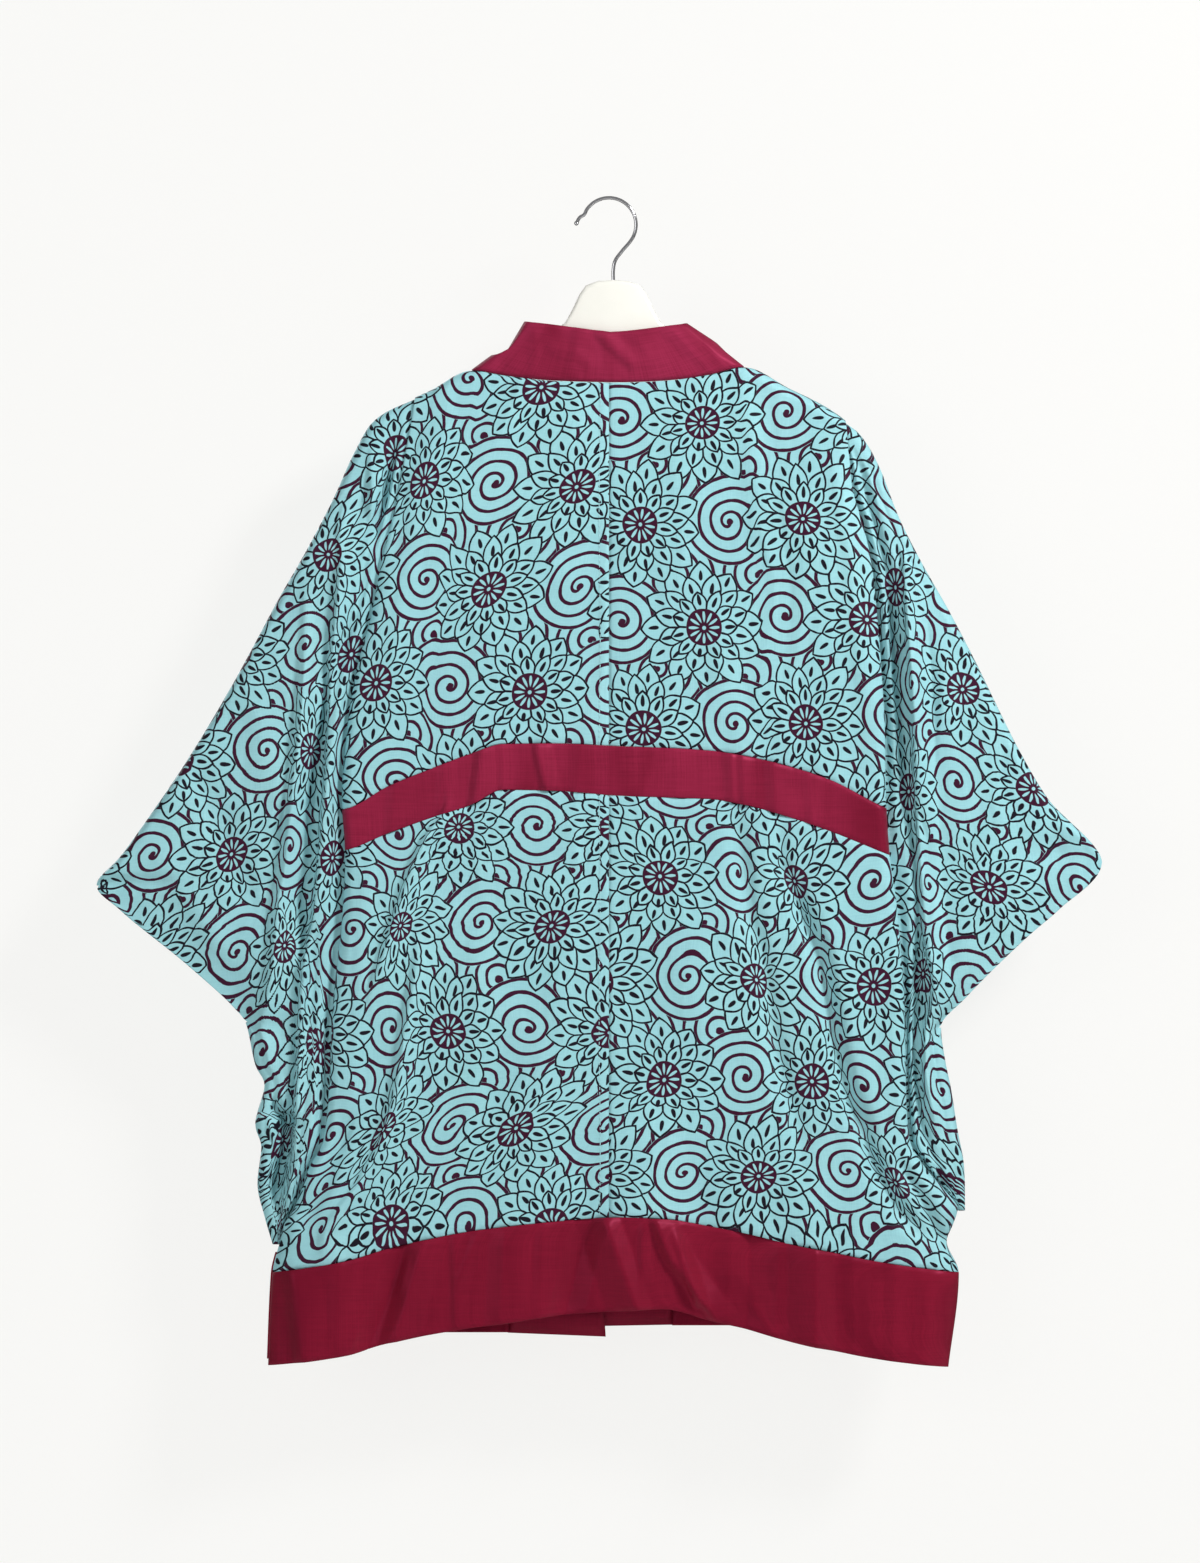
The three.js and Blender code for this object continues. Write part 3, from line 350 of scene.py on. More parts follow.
def make_cloth(name, grid, place, material, nodes, rests_on, thick=CLOTH, shift=(0, 0), **more):
    """A sheet of cloth. place gives x, y, z in millimetres for the shares across and down a grid.

    The slot has the material's name, and shift moves the print, in metres. more: strip measures the print
    along a narrow strip, doubled measures it from both ends of each row, folds hide cloth, and keep(i, j)
    says which of the grid's cells are there."""
    across, down = grid
    bm = bmesh.new()
    bmesh.ops.create_grid(bm, x_segments=across, y_segments=down, size=0.5)
    u, v = np.meshgrid(np.linspace(0, 1, across + 1), np.linspace(0, 1, down + 1))
    points = np.stack(np.broadcast_arrays(*place(u, v)), axis=2)
    if more.get("strip"):
        flat_u, flat_v = strip_lengths(points, 1), strip_lengths(points, 0)
        flat_u = np.broadcast_to(flat_u[down // 2], flat_u.shape)
    else:
        flat_u = strip_lengths(points * (1, 1, 0), 1)
        if more.get("doubled"):
            flat_u = np.minimum(flat_u, flat_u[:, -1:] - flat_u) * np.sign(points[..., 0])
        flat_v = strip_lengths(points * (0, 1, 1), 0) - strip_lengths(points * (0, 0, 1), 0) - points[..., 2]
    moved = hidden_cloth(more.get("folds", ()), points[..., 0], points[..., 2])
    flat = (np.stack([flat_u, flat_v], axis=2) + moved) * MM
    layer = bm.loops.layers.uv.new("cloth")
    cell = {vert: (round((0.5 - vert.co.y) * down), round((vert.co.x + 0.5) * across)) for vert in bm.verts}
    keep = more.get("keep")
    gone = []
    area = 0
    for face in bm.faces:
        corners = [cell[loop.vert] for loop in face.loops]
        for loop, corner in zip(face.loops, corners):
            loop[layer].uv = flat[corner] + shift
        if keep and not keep(min(c[0] for c in corners), min(c[1] for c in corners)):
            gone.append(face)
            continue
        ring = np.array([flat[corner] for corner in corners])
        turn = np.roll(ring, -1, axis=0)
        area += abs(np.sum(ring[:, 0] * turn[:, 1] - ring[:, 1] * turn[:, 0])) / 2
    for vert, corner in cell.items():
        vert.co = points[corner] * MM
    bmesh.ops.delete(bm, geom=gone, context="FACES")
    piece = add_mesh(name, bm, material)
    wall = piece.modifiers.new("wall", "SOLIDIFY")
    wall.thickness = thick * MM
    wall.offset = 0
    size = [float(np.ptp(flat[..., i])) for i in (0, 1)]
    size[0] *= 2 if more.get("doubled") else 1
    finish_piece(piece, nodes)
    area = min(float(area), size[0] * size[1])
    print(f"{name}: cut {size[0]:.3f} x {size[1]:.3f} m, {area:.4f} m2")


def add_mesh(name, bm, material):
    mesh = bpy.data.meshes.new(name)
    bm.to_mesh(mesh)
    bm.free()
    mesh.shade_smooth()
    mesh.materials.append(material)
    piece = bpy.data.objects.new(name, mesh)
    bpy.context.scene.collection.objects.link(piece)
    return piece


def finish_piece(piece, nodes=()):
    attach(piece, "root")
    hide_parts(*nodes)


# Shader sums, written with ordinary signs

SOFT = 0.0002  # width of the print's soft edges, in metres


class Sum:
    """A number worked out by the shader."""

    def __init__(self, graph, socket):
        self.graph, self.socket = graph, socket

    def do(self, operation, *others):
        return self.graph.math(operation, self, *others)

    def __add__(self, other):
        return self.do("ADD", other)

    def __sub__(self, other):
        return self.do("SUBTRACT", other)

    def __rsub__(self, other):
        return self.graph.math("SUBTRACT", other, self)

    def __mul__(self, other):
        return self.do("MULTIPLY", other)

    def __truediv__(self, other):
        return self.do("DIVIDE", other)

    def above(self, low, soft=SOFT):
        """1 where this is above low, with a soft edge."""
        return self.graph.math("ADD", (self - low) / soft, 0.5, clamp=True)


class Graph:
    """Adds nodes to one tree."""

    def __init__(self, tree):
        self.tree = tree

    def node(self, kind, *values, **settings):
        made = self.tree.nodes.new("ShaderNode" + kind)
        for name, value in settings.items():
            setattr(made, name, value)
        for socket, value in zip(made.inputs, values):
            self.put(socket, value)
        return made

    def put(self, socket, value):
        value = value.socket if isinstance(value, Sum) else value
        if isinstance(value, bpy.types.NodeSocket):
            self.tree.links.new(value, socket)
        elif value is not None:
            socket.default_value = value

    def fill(self, node, **values):
        """Sets or joins a node's inputs by their names, with _ for a space."""
        for name, value in values.items():
            self.put(node.inputs[name.replace("_", " ")], value)
        return node

    def math(self, operation, *values, clamp=False):
        return Sum(self, self.node("Math", *values, operation=operation, use_clamp=clamp).outputs[0])

    def vector(self, operation, *values):
        return self.node("VectorMath", *values, operation=operation)

    def noise(self, place, scale, detail, dimensions="2D", **more):
        """The share that a noise gives at each place."""
        made = self.node("TexNoise", noise_dimensions=dimensions)
        return Sum(self, self.fill(made, Vector=place, Scale=scale, Detail=detail, **more).outputs["Fac"])

    def call(self, group, **values):
        made = self.tree.nodes.new("ShaderNodeGroup")
        made.node_tree = group
        return self.fill(made, **values)


def new_group(name, inputs, outputs):
    """A node group. Place is a vector, and the others are numbers. Their names have _ for a space."""
    tree = bpy.data.node_groups.new(name, "ShaderNodeTree")
    for way, labels in (("INPUT", inputs), ("OUTPUT", outputs)):
        for label in labels.split():
            kind = "NodeSocketVector" if label == "Place" else "NodeSocketFloat"
            tree.interface.new_socket(label.replace("_", " "), in_out=way, socket_type=kind)
    graph = Graph(tree)
    sockets = zip(inputs.split(), tree.nodes.new("NodeGroupInput").outputs)
    graph.entry = [socket if label == "Place" else Sum(graph, socket) for label, socket in sockets]
    graph.exit = tree.nodes.new("NodeGroupOutput")
    return graph


# The print is drawn in metres.
PETAL_LINE, SPIRAL_LINE = 0.0018, 0.0031
TIP_SPREAD = 0.009  # how much the petals of one ring differ in length
TIP_POWER = 0.66  # lower is blunter
MARK_LENGTH, MARK_WIDTH = 0.0050, 0.0019  # of the dark mark in a petal, halved
EYE, DOT, SPOKES = 0.0164, 0.0017, 12
SPOKE_START, SPOKE_LENGTH, SPOKE_END = 0.0045, 0.0095, 0.0140
BLOB_SHIFT = 0.0012  # from a spiral's middle to its blob
WANDER = 0.007  # how far the drawing strays
# Rings of petals, the front one first: petals, turn, tip, valley, mark and seed.
PETAL_RINGS = [
    (11, 0.0, 0.0325, 0.0235, 0.0243, 3.0), (12, 0.5, 0.0465, 0.0330, 0.0352, 7.0),
    (12, 0.0, 0.0590, 0.0445, 0.0462, 11.0),
]


def petal_ring():
    """One ring of pointed petals round a flower's middle."""
    g = new_group("petal ring", "Radius Angle Count Tip Valley Mark Line Seed", "Ink Cover")
    radius, angle, count, tip, valley, mark, line, seed = g.entry
    sector = angle * count
    number = sector.do("FLOOR")
    across = sector - number - 0.5
    share = across.do("ABSOLUTE") * 2
    key = g.node("CombineXYZ", number.do("FLOORED_MODULO", count), seed)
    chance = Sum(g, g.node("TexWhiteNoise", key.outputs[0], noise_dimensions="2D").outputs[0])
    reach = tip + (chance - 0.5) * TIP_SPREAD - valley
    left = g.math("MAXIMUM", 1 - share, 0.003)
    edge = valley + reach * left.do("POWER", TIP_POWER)
    slope = reach * TIP_POWER * left.do("POWER", TIP_POWER - 1) * count / (radius * math.pi)
    depth = (edge - radius) / (slope * slope + 1).do("SQRT")
    cover = depth.above(0)
    outline = (line - depth).above(0)
    parting = (line * 0.5 - (1 - share) * radius * math.pi / count).above(0)
    along = (radius - mark) / MARK_LENGTH
    wide = across * radius * 2 * math.pi / count / MARK_WIDTH
    drop = (1 - along * along - wide * wide * (along * 0.5 + 1.2)).above(0, 0.3)
    ink = outline.do("MAXIMUM", parting).do("MAXIMUM", drop)
    g.fill(g.exit, Ink=ink * cover, Cover=cover)
    return g.tree


def flower(ring):
    """A flower: a dark eye with light spokes and three rings of petals, the front ones over the others."""
    g = new_group("flower", "Place Turn Line Seed", "Ink Eye Cover")
    place, turn, line, seed = g.entry
    parts = g.node("SeparateXYZ", place)
    x, y = Sum(g, parts.outputs[0]), Sum(g, parts.outputs[1])
    radius = g.math("MAXIMUM", (x * x + y * y).do("SQRT"), 0.0005)
    angle = g.math("ARCTAN2", y, x) / (2 * math.pi) + turn
    ink, cover = None, None
    for count, step, tip, valley, mark, number in PETAL_RINGS:
        made = g.call(ring, Radius=radius, Angle=angle + step / count, Count=count, Tip=tip, Valley=valley,
                      Mark=mark, Line=line, Seed=seed + number)
        ring_ink, ring_cover = Sum(g, made.outputs[0]), Sum(g, made.outputs[1])
        ink = ring_ink if ink is None else ink + (1 - cover) * ring_ink
        cover = ring_cover if cover is None else cover.do("MAXIMUM", ring_cover)
    spoke = ((angle * SPOKES).do("FRACT") - 0.5).do("ABSOLUTE") * radius * (2 * math.pi / SPOKES)
    along = (radius - SPOKE_START) / SPOKE_LENGTH
    plump = along * (1 - along) * 0.0034 + along * 0.0007
    light = (plump - spoke).above(0) * (SPOKE_END - radius).above(0) * (radius - SPOKE_START).above(0)
    dot = (DOT - radius).above(0)
    disc = (EYE - radius).above(0)
    eye = disc * (1 - light) * (1 - dot)
    g.fill(g.exit, Ink=ink * (1 - disc), Eye=eye, Cover=cover.do("MAXIMUM", disc))
    return g.tree


def spiral():
    """A spiral line with a round blob where it starts. It covers what lies under its turns."""
    g = new_group("spiral", "Place Turn Hand Turns Pitch Line", "Ink Cover")
    place, turn, hand, turns, pitch, line = g.entry
    parts = g.node("SeparateXYZ", place)
    x, y = Sum(g, parts.outputs[0]), Sum(g, parts.outputs[1]) * hand
    radius = (x * x + y * y).do("SQRT")
    angle = (g.math("ARCTAN2", y, x) / (2 * math.pi) + turn).do("FRACT")
    wound = radius / pitch - angle
    off = ((wound + 0.5).do("FRACT") - 0.5).do("ABSOLUTE") * pitch
    started = (wound + 0.25).above(0, 0.02)
    cover = (turns + 0.16 - wound).above(0, 0.02)
    blob = ((x - BLOB_SHIFT) * (x - BLOB_SHIFT) + y * y).do("SQRT")
    ink = ((line * 0.5 - off).above(0) * started).do("MAXIMUM", (line * 0.95 - blob).above(0))
    g.fill(g.exit, Ink=ink * cover, Cover=cover)
    return g.tree


TILE = (0.150, 0.186)  # one repeat of the print: two flowers, with spirals behind and between them
FLOWERS = [((0.0, 0.0), 0.02, 1.0), ((0.057, 0.092), 0.05, 5.0)]
# Spirals: middle, turn, hand, number of turns and pitch. The first ones lie over the later ones.
SPIRALS = [
    ((0.083, -0.003), 0.10, 1, 3, 0.0110), ((0.131, 0.088), 0.55, -1, 3, 0.0112),
    ((0.106, 0.046), 0.45, 1, 2, 0.0104), ((0.093, 0.138), 0.20, 1, 3, 0.0110),
    ((0.014, 0.132), 0.90, -1, 3, 0.0112), ((0.024, 0.050), 0.65, -1, 4, 0.0116),
    ((0.062, -0.040), 0.35, 1, 4, 0.0116),
]


def print_design():
    """The cloth's print on its own plane, in metres: where it has petal ink and where spiral ink."""
    ring = petal_ring()
    bloom, coil = flower(ring), spiral()
    g = new_group("print", "Place", "Petal_ink Spiral_ink")
    [place] = g.entry
    stray = g.fill(g.node("TexNoise", noise_dimensions="2D"), Vector=place, Scale=17.0, Detail=1.0)
    farthest, centred = (WANDER, WANDER, 0), (-WANDER / 2, -WANDER / 2, 0)
    moved = g.vector("MULTIPLY_ADD", stray.outputs["Color"], farthest, centred)
    drawn = g.vector("ADD", place, moved.outputs[0]).outputs[0]
    heavy = g.noise(place, 140.0, 1.0) * 0.5 + 0.75
    half = (TILE[0] / 2, TILE[1] / 2, 1)

    def nearest(middle):
        shifted = g.vector("SUBTRACT", drawn, (middle[0], middle[1], 0)).outputs[0]
        return g.vector("WRAP", shifted, half, (-half[0], -half[1], -1)).outputs[0]

    petal, coil_ink, cover = None, None, None
    for middle, turn, seed in FLOWERS:
        made = g.call(bloom, Place=nearest(middle), Turn=turn, Line=heavy * PETAL_LINE, Seed=seed)
        ink, eye, over = (Sum(g, socket) for socket in made.outputs)
        petal = ink if petal is None else petal + (1 - cover) * ink
        coil_ink = eye if coil_ink is None else coil_ink + (1 - cover) * eye
        cover = over if cover is None else cover.do("MAXIMUM", over)
    for middle, turn, hand, turns, pitch in SPIRALS:
        made = g.call(coil, Place=nearest(middle), Turn=turn, Hand=hand, Turns=turns, Pitch=pitch,
                      Line=heavy * SPIRAL_LINE)
        ink, over = (Sum(g, socket) for socket in made.outputs)
        coil_ink = coil_ink + (1 - cover) * ink
        cover = cover.do("MAXIMUM", over)
    g.fill(g.exit, Petal_ink=petal, Spiral_ink=coil_ink)
    return g.tree


def cloth_surface():
    """Soft wrinkles, slubs and weave, shared by the cloths. Height is in metres; Shade is painted shade."""
    g = new_group("cloth surface", "Place Wrinkle_height Slub_length", "Height Shade Slub")
    place, wrinkle_height, slub_length = g.entry

    def threads(across, down):
        """A noise drawn out along the threads that run one way."""
        scale = g.node("CombineXYZ", across, down, 1.0).outputs[0]
        return g.noise(g.vector("MULTIPLY", place, scale).outputs[0], 1.0, 1.0)

    shade = g.noise(g.vector("MULTIPLY", place, (1, 0.4, 1)).outputs[0], 15.0, 2.0, Distortion=0.6)
    small = g.noise(place, 70.0, 2.0)
    woven = threads(1400.0, slub_length) * 0.55 + threads(slub_length * 3.0, 900.0) * 0.45
    g.fill(g.exit, Height=shade * wrinkle_height + small * 0.00035, Shade=shade, Slub=woven)
    return g.tree


def colour(hex_code):
    """A colour given as it looks on a screen, as the shader's linear numbers."""
    parts = [int(hex_code[i:i + 2], 16) / 255 for i in (0, 2, 4)]
    return (*(p / 12.92 if p <= 0.04045 else ((p + 0.055) / 1.055) ** 2.4 for p in parts), 1)


def new_material(name):
    material = bpy.data.materials.new(name)
    material.use_nodes = True
    tree = material.node_tree
    tree.nodes.clear()
    g = Graph(tree)
    shader = tree.nodes.new("ShaderNodeBsdfPrincipled")
    output = tree.nodes.new("ShaderNodeOutputMaterial")
    tree.links.new(shader.outputs[0], output.inputs[0])
    return material, g, shader


def blend(g, share, first, second):
    made = g.node("Mix", data_type="RGBA")
    g.put(made.inputs[0], share)
    g.put(made.inputs[6], first)
    g.put(made.inputs[7], second)
    return made.outputs[2]


def cloth_material(name, surface, wrinkle_height, slub_length):
    """A cloth's material with its bumps, and how far its shading and its slubs are from their means."""
    material, g, shader = new_material(name)
    place = g.node("UVMap", uv_map="cloth").outputs[0]
    feel = g.call(surface, Place=place, Wrinkle_height=wrinkle_height, Slub_length=slub_length)
    bump = g.fill(g.node("Bump"), Strength=1.0, Distance=1.0, Height=feel.outputs["Height"])
    g.fill(shader, Normal=bump.outputs[0])
    return material, g, shader, place, *(Sum(g, feel.outputs[label]) - 0.5 for label in ("Shade", "Slub"))


def printed_cloth(design, surface):
    material, g, shader, place, shade, slub = cloth_material("printed cloth", surface, 0.006, 30.0)
    ink = g.call(design, Place=place)
    # painted shade: the ground turns lighter and darker with the wrinkles' noise, as the folds would be lit
    ground = blend(g, shade * 0.9 + 0.5, colour("98cfd6"), colour("a9e1e6"))
    ground = blend(g, slub * 0.9 + 0.25, ground, colour("86bcc7"))
    inked = blend(g, ink.outputs["Spiral ink"], ground, colour("3a0f2a"))
    inked = blend(g, ink.outputs["Petal ink"], inked, colour("15101d"))
    g.fill(shader, Base_Color=inked, Roughness=0.6, Specular_IOR_Level=0.14)
    return material


def burgundy_cloth(surface):
    material, g, shader, _, shade, slub = cloth_material("burgundy cloth", surface, 0.003, 9.0)
    parts = g.node("SeparateXYZ", g.node("TexCoord").outputs["Object"])
    # painted light: the bands are lighter higher up, as if lit more from above
    height = g.math("ADD", Sum(g, parts.outputs[2]) * 1.25, 1.22, clamp=True)  # lighter higher up
    base = blend(g, height, colour("83182f"), colour("9f2d4e"))
    # painted sheen and shade: lighter and darker patches on the bands follow the wrinkles' noise
    base = blend(g, shade * 1.8 + 0.2, base, colour("681024"))
    base = blend(g, slub * 1.0 + 0.12, base, colour("500b1c"))
    g.fill(shader, Base_Color=base, Roughness=0.4, Specular_IOR_Level=0.45, Specular_Tint=colour("d8507a"))
    return material


def noisy_material(name, scale, detail):
    """A material, and a noise in the space of what it is on."""
    material, g, shader = new_material(name)
    return material, g, shader, g.noise(g.node("TexCoord").outputs["Object"], scale, detail, "3D")


def hanger_white():
    material, g, shader, mottle = noisy_material("hanger white", 30.0, 2.0)
    base = blend(g, mottle, colour("f1f0e7"), colour("f6f5ed"))
    g.fill(shader, Base_Color=base, Roughness=mottle * 0.1 + 0.32)
    return material


def hook_chrome():
    material, g, shader, smears = noisy_material("hook chrome", 160.0, 2.0)
    g.fill(shader, Base_Color=colour("c9c9cc"), Metallic=1.0, Roughness=smears * 0.12 + 0.08)
    return material


def thread(name, hex_code):
    material, g, shader, ply = noisy_material(name, 900.0, 1.0)
    lit, dark = colour(hex_code), tuple(c * 0.8 for c in colour(hex_code)[:3]) + (1,)
    g.fill(shader, Base_Color=blend(g, ply, dark, lit), Roughness=0.6)
    return material


surface = cloth_surface()
PRINTED = printed_cloth(print_design(), surface)
BURGUNDY = burgundy_cloth(surface)
WHITE = hanger_white()
CHROME = hook_chrome()
PALE_THREAD = thread("pale thread", "b2e0e6")
DARK_THREAD = thread("dark thread", "401020")


# The back

TUCK_WIDTH, TUCK_DEPTH = 2.2, 1.1


def tuck(share, length):
    """How far the cloth sinks beside the seams at both ends of this length."""
    start, end = (np.exp(-((part * length / TUCK_WIDTH) ** 2)) for part in (share, 1 - share))
    return TUCK_DEPTH * (start + end)


FLAT_SHARE = 0.9  # of the columns, up to where the edge starts to roll over
ROUNDS = 12  # in which a panel's places settle between its curved edges
CENTRE_WIDTH = 2.6  # half width of the groove along the centre seam


def rolled_over(edge, roll, share):
    """Where the columns near a rolled edge lie."""
    return edge - roll * (1 - np.clip((share - FLAT_SHARE) / (1 - FLAT_SHARE), 0, 1)) ** 2


def back_place(top, bottom, names, gap_top, folds):
    """Places on a panel of the back between two cross seams. One side, or both."""
    half = len(names) == 1

    def place(u, v):
        v = crowded(v)
        position = mix(-("left" in names), int("right" in names), u)
        way = WAY[names[0]] if half else np.where(position < 0, -1, 1)
        share = np.abs(position)
        z, x = mix(top(0), bottom(0), v), 0 * u
        for _ in range(ROUNDS):
            edge = np.abs(np.where(way < 0, side["left"](z), side["right"](z)))
            roll = roll_width(z)
            flat = (edge - roll) * share / FLAT_SHARE
            reach = np.where(share < FLAT_SHARE, flat, rolled_over(edge, roll, share))
            x = way * np.maximum(reach, SEAM / 2 if half else 0)
            z = mix(top(x) - gap_top, bottom(x) + SEAM / 2, v)
        x, y, z = body_point(x, z, -1, hang["back"], folds)
        length = np.abs(top(x) - bottom(x))
        sink = tuck(v, length) + half * np.exp(-((x / CENTRE_WIDTH) ** 2))
        return x, y + sink * (np.abs(y) > HALF_DEPTH), z

    return place


for part, grid, top, bottom, gap, above, shifts in (
    ("upper", (84, 110), "neck", "waist_top", 0, "hanger_body", ((0.031, 0.012), (0.118, 0.071))),
    ("lower", (100, 130), "waist_end", "hem_top", SEAM / 2, "waist_band_cloth",
     ((0.093, 0.066), (0.014, 0.020))),
):
    for name, shift in zip(WAY, shifts):
        place = back_place(cross[top], cross[bottom], [name], gap, BACK_FOLDS)
        make_cloth(f"{part}_back_{name}", grid, place, PRINTED, [f"back_{part}_{name}"], [above],
                   shift=shift, folds=BACK_FOLDS)
for name, grid, top, bottom, node, above in (
    ("waist_band_cloth", (300, 18), "waist_top", "waist_end", "waist_band", "upper_back"),
    ("hem_band_cloth", (320, 40), "hem_top", "hem", "back_hem_band", "lower_back"),
):
    place = back_place(cross[top], cross[bottom], ["left", "right"], SEAM / 2, BACK_FOLDS + BAND_FOLDS)
    make_cloth(name, grid, place, BURGUNDY, [node], [f"{above}_left", f"{above}_right"], thick=BAND)


# The collar and front bands

collar = {name: row_tracks(rows) for name, rows in COLLARS.items()}
LAST_ROW = len(COLLARS["left"]["depth"]) - 1


def collar_side(name, row, share):
    at, way = collar[name], WAY[name]
    seam_x, depth = at["seam_x"](row), at["depth"](row)
    seam_z = np.where(row < TURN_ROW, cross["neck"](seam_x), at["seam_z"](row))
    run_x, run_y, run_z = at["edge_x"](row) - seam_x, COLLAR_LEAN * depth, at["edge_z"](row) - seam_z
    length = np.sqrt(run_x**2 + run_y**2 + run_z**2)
    lapped = ease(row, *FRONT_ROWS)
    gap = SEAM + CLEAR + TURN_GAP * np.exp(-(((row - TURN_ROW) / 2) ** 2)) - FRONT_LAP * lapped
    along = mix(gap / length, 1, share)
    dent = at["dent"](row) * np.interp(share, *LEDGE) / np.hypot(run_x, run_z)
    x = seam_x + run_x * along - way * np.abs(run_z) * dent
    z = seam_z + run_z * along - np.abs(run_x) * dent
    on_back = 1 - ease(row, *BACK_ROWS)
    y = depth + run_y * along + BAND * lapped
    y = y - on_back * relief(COLLAR_FOLDS, x, z) + on_back * tuck(share, length) * (share < 0.5)
    return x, y, z


def collar_place(u, v):
    row = (2 * u - 1) * LAST_ROW
    left, right = (collar_side(name, np.abs(row), 1 - v) for name in WAY)
    return tuple(np.where(row < 0, a, b) for a, b in zip(left, right))


make_cloth("collar_and_front_bands", (2 * LAST_ROW * 10, 12), collar_place, BURGUNDY, ["collar_band"],
           ["upper_back_left", "upper_back_right", "front_panel_left", "front_panel_right"],
           thick=BAND, strip=True)


# The fronts


def front_place(name, top, bottom):
    rows = {column: values[TURN_ROW:] for column, values in COLLARS[name].items()}
    seam, way = track(rows, "seam_z", "seam_x"), WAY[name]

    def place(u, v):
        v = crowded(v)
        share = u if name == "left" else 1 - u
        z, x = mix(top(0), bottom(0), v), 0 * u
        for _ in range(ROUNDS):
            edge, roll = np.abs(side[name](z)), roll_width(z)
            flat = mix(way * seam(z) + SEAM / 2, edge - roll, share / FLAT_SHARE)
            x = way * np.where(share < FLAT_SHARE, flat, rolled_over(edge, roll, share))
            z = mix(top(x), bottom(x), v)
        return body_point(x, z, 1, hang[name], FRONT_FOLDS)

    return place


for name, shift in (("left", (0.05, 0.03)), ("right", (0.12, 0.09))):
    end = FRONT_END[name]
    split = end + FRONT_HEM
    place = front_place(name, cross["neck"], lambda x: split + SEAM / 2 + 0 * x)
    make_cloth(f"front_panel_{name}", (52, 200), place, PRINTED, [f"front_{name}"], ["hanger_body"],
               shift=shift, folds=FRONT_FOLDS)
    place = front_place(name, lambda x: split - SEAM / 2 + 0 * x, lambda x: end + 0 * x)
    make_cloth(f"front_band_{name}", (60, 26), place, BURGUNDY, [f"front_hem_{name}"],
               [f"front_panel_{name}"], thick=BAND)


# The sleeves

BACK_COLUMNS, TURN_COLUMNS, FRONT_COLUMNS = 96, 8, 36
COLUMNS = BACK_COLUMNS + TURN_COLUMNS + FRONT_COLUMNS
ROW_LENGTH = 4.5  # between two rows of a sleeve
RIDGE_HEIGHT = 3.5
FRONT_TROUGHS, FRONT_RELIEF = 0.4, 0.5  # how much of the back's folds the sleeve's front has


def sleeve_rows(rows):
    """Places in the table, one for each row of the cloth."""
    x, z = np.array(rows["x"], float), np.array(rows["z"], float)
    places = []
    for i, length in enumerate(np.hypot(np.diff(x), np.diff(z))):
        count = max(2, math.ceil(length / ROW_LENGTH))
        places += [i + k / count for k in range(count)]
    return np.array(places + [len(x) - 1.0])


def sleeve_place(name, rows, places):
    tracks = row_tracks(rows)
    first, last = CUFF_ROWS
    way = WAY[name]

    def place(u, v):
        t = np.interp(v * (len(places) - 1), np.arange(len(places)), places)
        column = np.rint((u if name == "right" else 1 - u) * COLUMNS)
        row = {name: value(t) for name, value in tracks.items()}
        in_cuff = (t > first) & (t < last)
        from_tip = np.minimum(np.abs(t - first), np.abs(t - last))
        settled = np.where(in_cuff, 0, ease(from_tip, 0, 0.6))
        inner_z = row["z"] - row["drop"]
        inner = np.abs(side[name](inner_z)) - LAP
        length = np.hypot(np.abs(row["x"]) - inner, row["drop"])
        turn = np.where(in_cuff, 0, np.minimum(mix(2, FOLD_RADIUS, settled), length * 0.5))
        flat = length - turn
        near = edge_depth(inner_z)
        lap = np.minimum(LAP + 2, flat * 0.5)
        trough = np.maximum(np.minimum(row["trough"], flat * 0.6), lap + 0.15 * flat)
        soft = np.maximum(np.minimum(row["soft"], flat * 0.8), trough + 0.1 * flat)
        outer = mix(CUFF_DEPTH, row["depth"], settled)
        on_back = column <= BACK_COLUMNS
        on_front = column >= BACK_COLUMNS + TURN_COLUMNS
        from_front = (COLUMNS - column) / FRONT_COLUMNS
        share = np.where(on_back, column / BACK_COLUMNS, np.where(on_front, from_front, 1))
        far = flat * mix(share, share**2, 0.35)
        rise = ease(far, lap, np.maximum(mix(lap, trough, 0.5), lap + 1))
        plain = mix(mix(near, row["depth"], rise), outer, ease(far, flat * 0.45, flat))
        dip = TROUGH_DEPTH * np.exp(-(((far - trough) / (trough * 0.3 + 1)) ** 2))
        soft_dip = SOFT_DEPTH * np.exp(-(((far - soft) / (trough * 0.4 + 1)) ** 2))
        ridges = RIDGE_HEIGHT * rise * (1 - ease(far, soft, flat)) - dip - soft_dip
        depth = plain + np.where(on_front, FRONT_TROUGHS, 1) * row["folds"] * ridges
        depth = np.where(far <= lap, near, np.maximum(depth, np.minimum(near, outer)))
        inside = ease(far, lap, lap + 10) * (1 - ease(far, flat - 7, flat))
        angle = np.clip((column - BACK_COLUMNS) / TURN_COLUMNS, 0, 1) * np.pi
        round_far = flat + turn * np.sin(angle)
        far = np.where(on_back | on_front, far, round_far)
        x = way * mix(inner, np.abs(row["x"]), far / length)
        z = mix(inner_z, row["z"], far / length)
        depth = depth + relief(SLEEVE_FOLDS, x, z) * inside * np.where(on_front, FRONT_RELIEF, 1)
        y = np.where(on_front, depth, np.where(on_back, -depth, -outer * np.cos(angle)))
        return x, y, z

    def keep(i, j):
        cell = j if name == "right" else COLUMNS - 1 - j
        middle = (places[i] + places[i + 1]) / 2
        return not (first < middle < last and BACK_COLUMNS <= cell < BACK_COLUMNS + TURN_COLUMNS)

    return place, keep


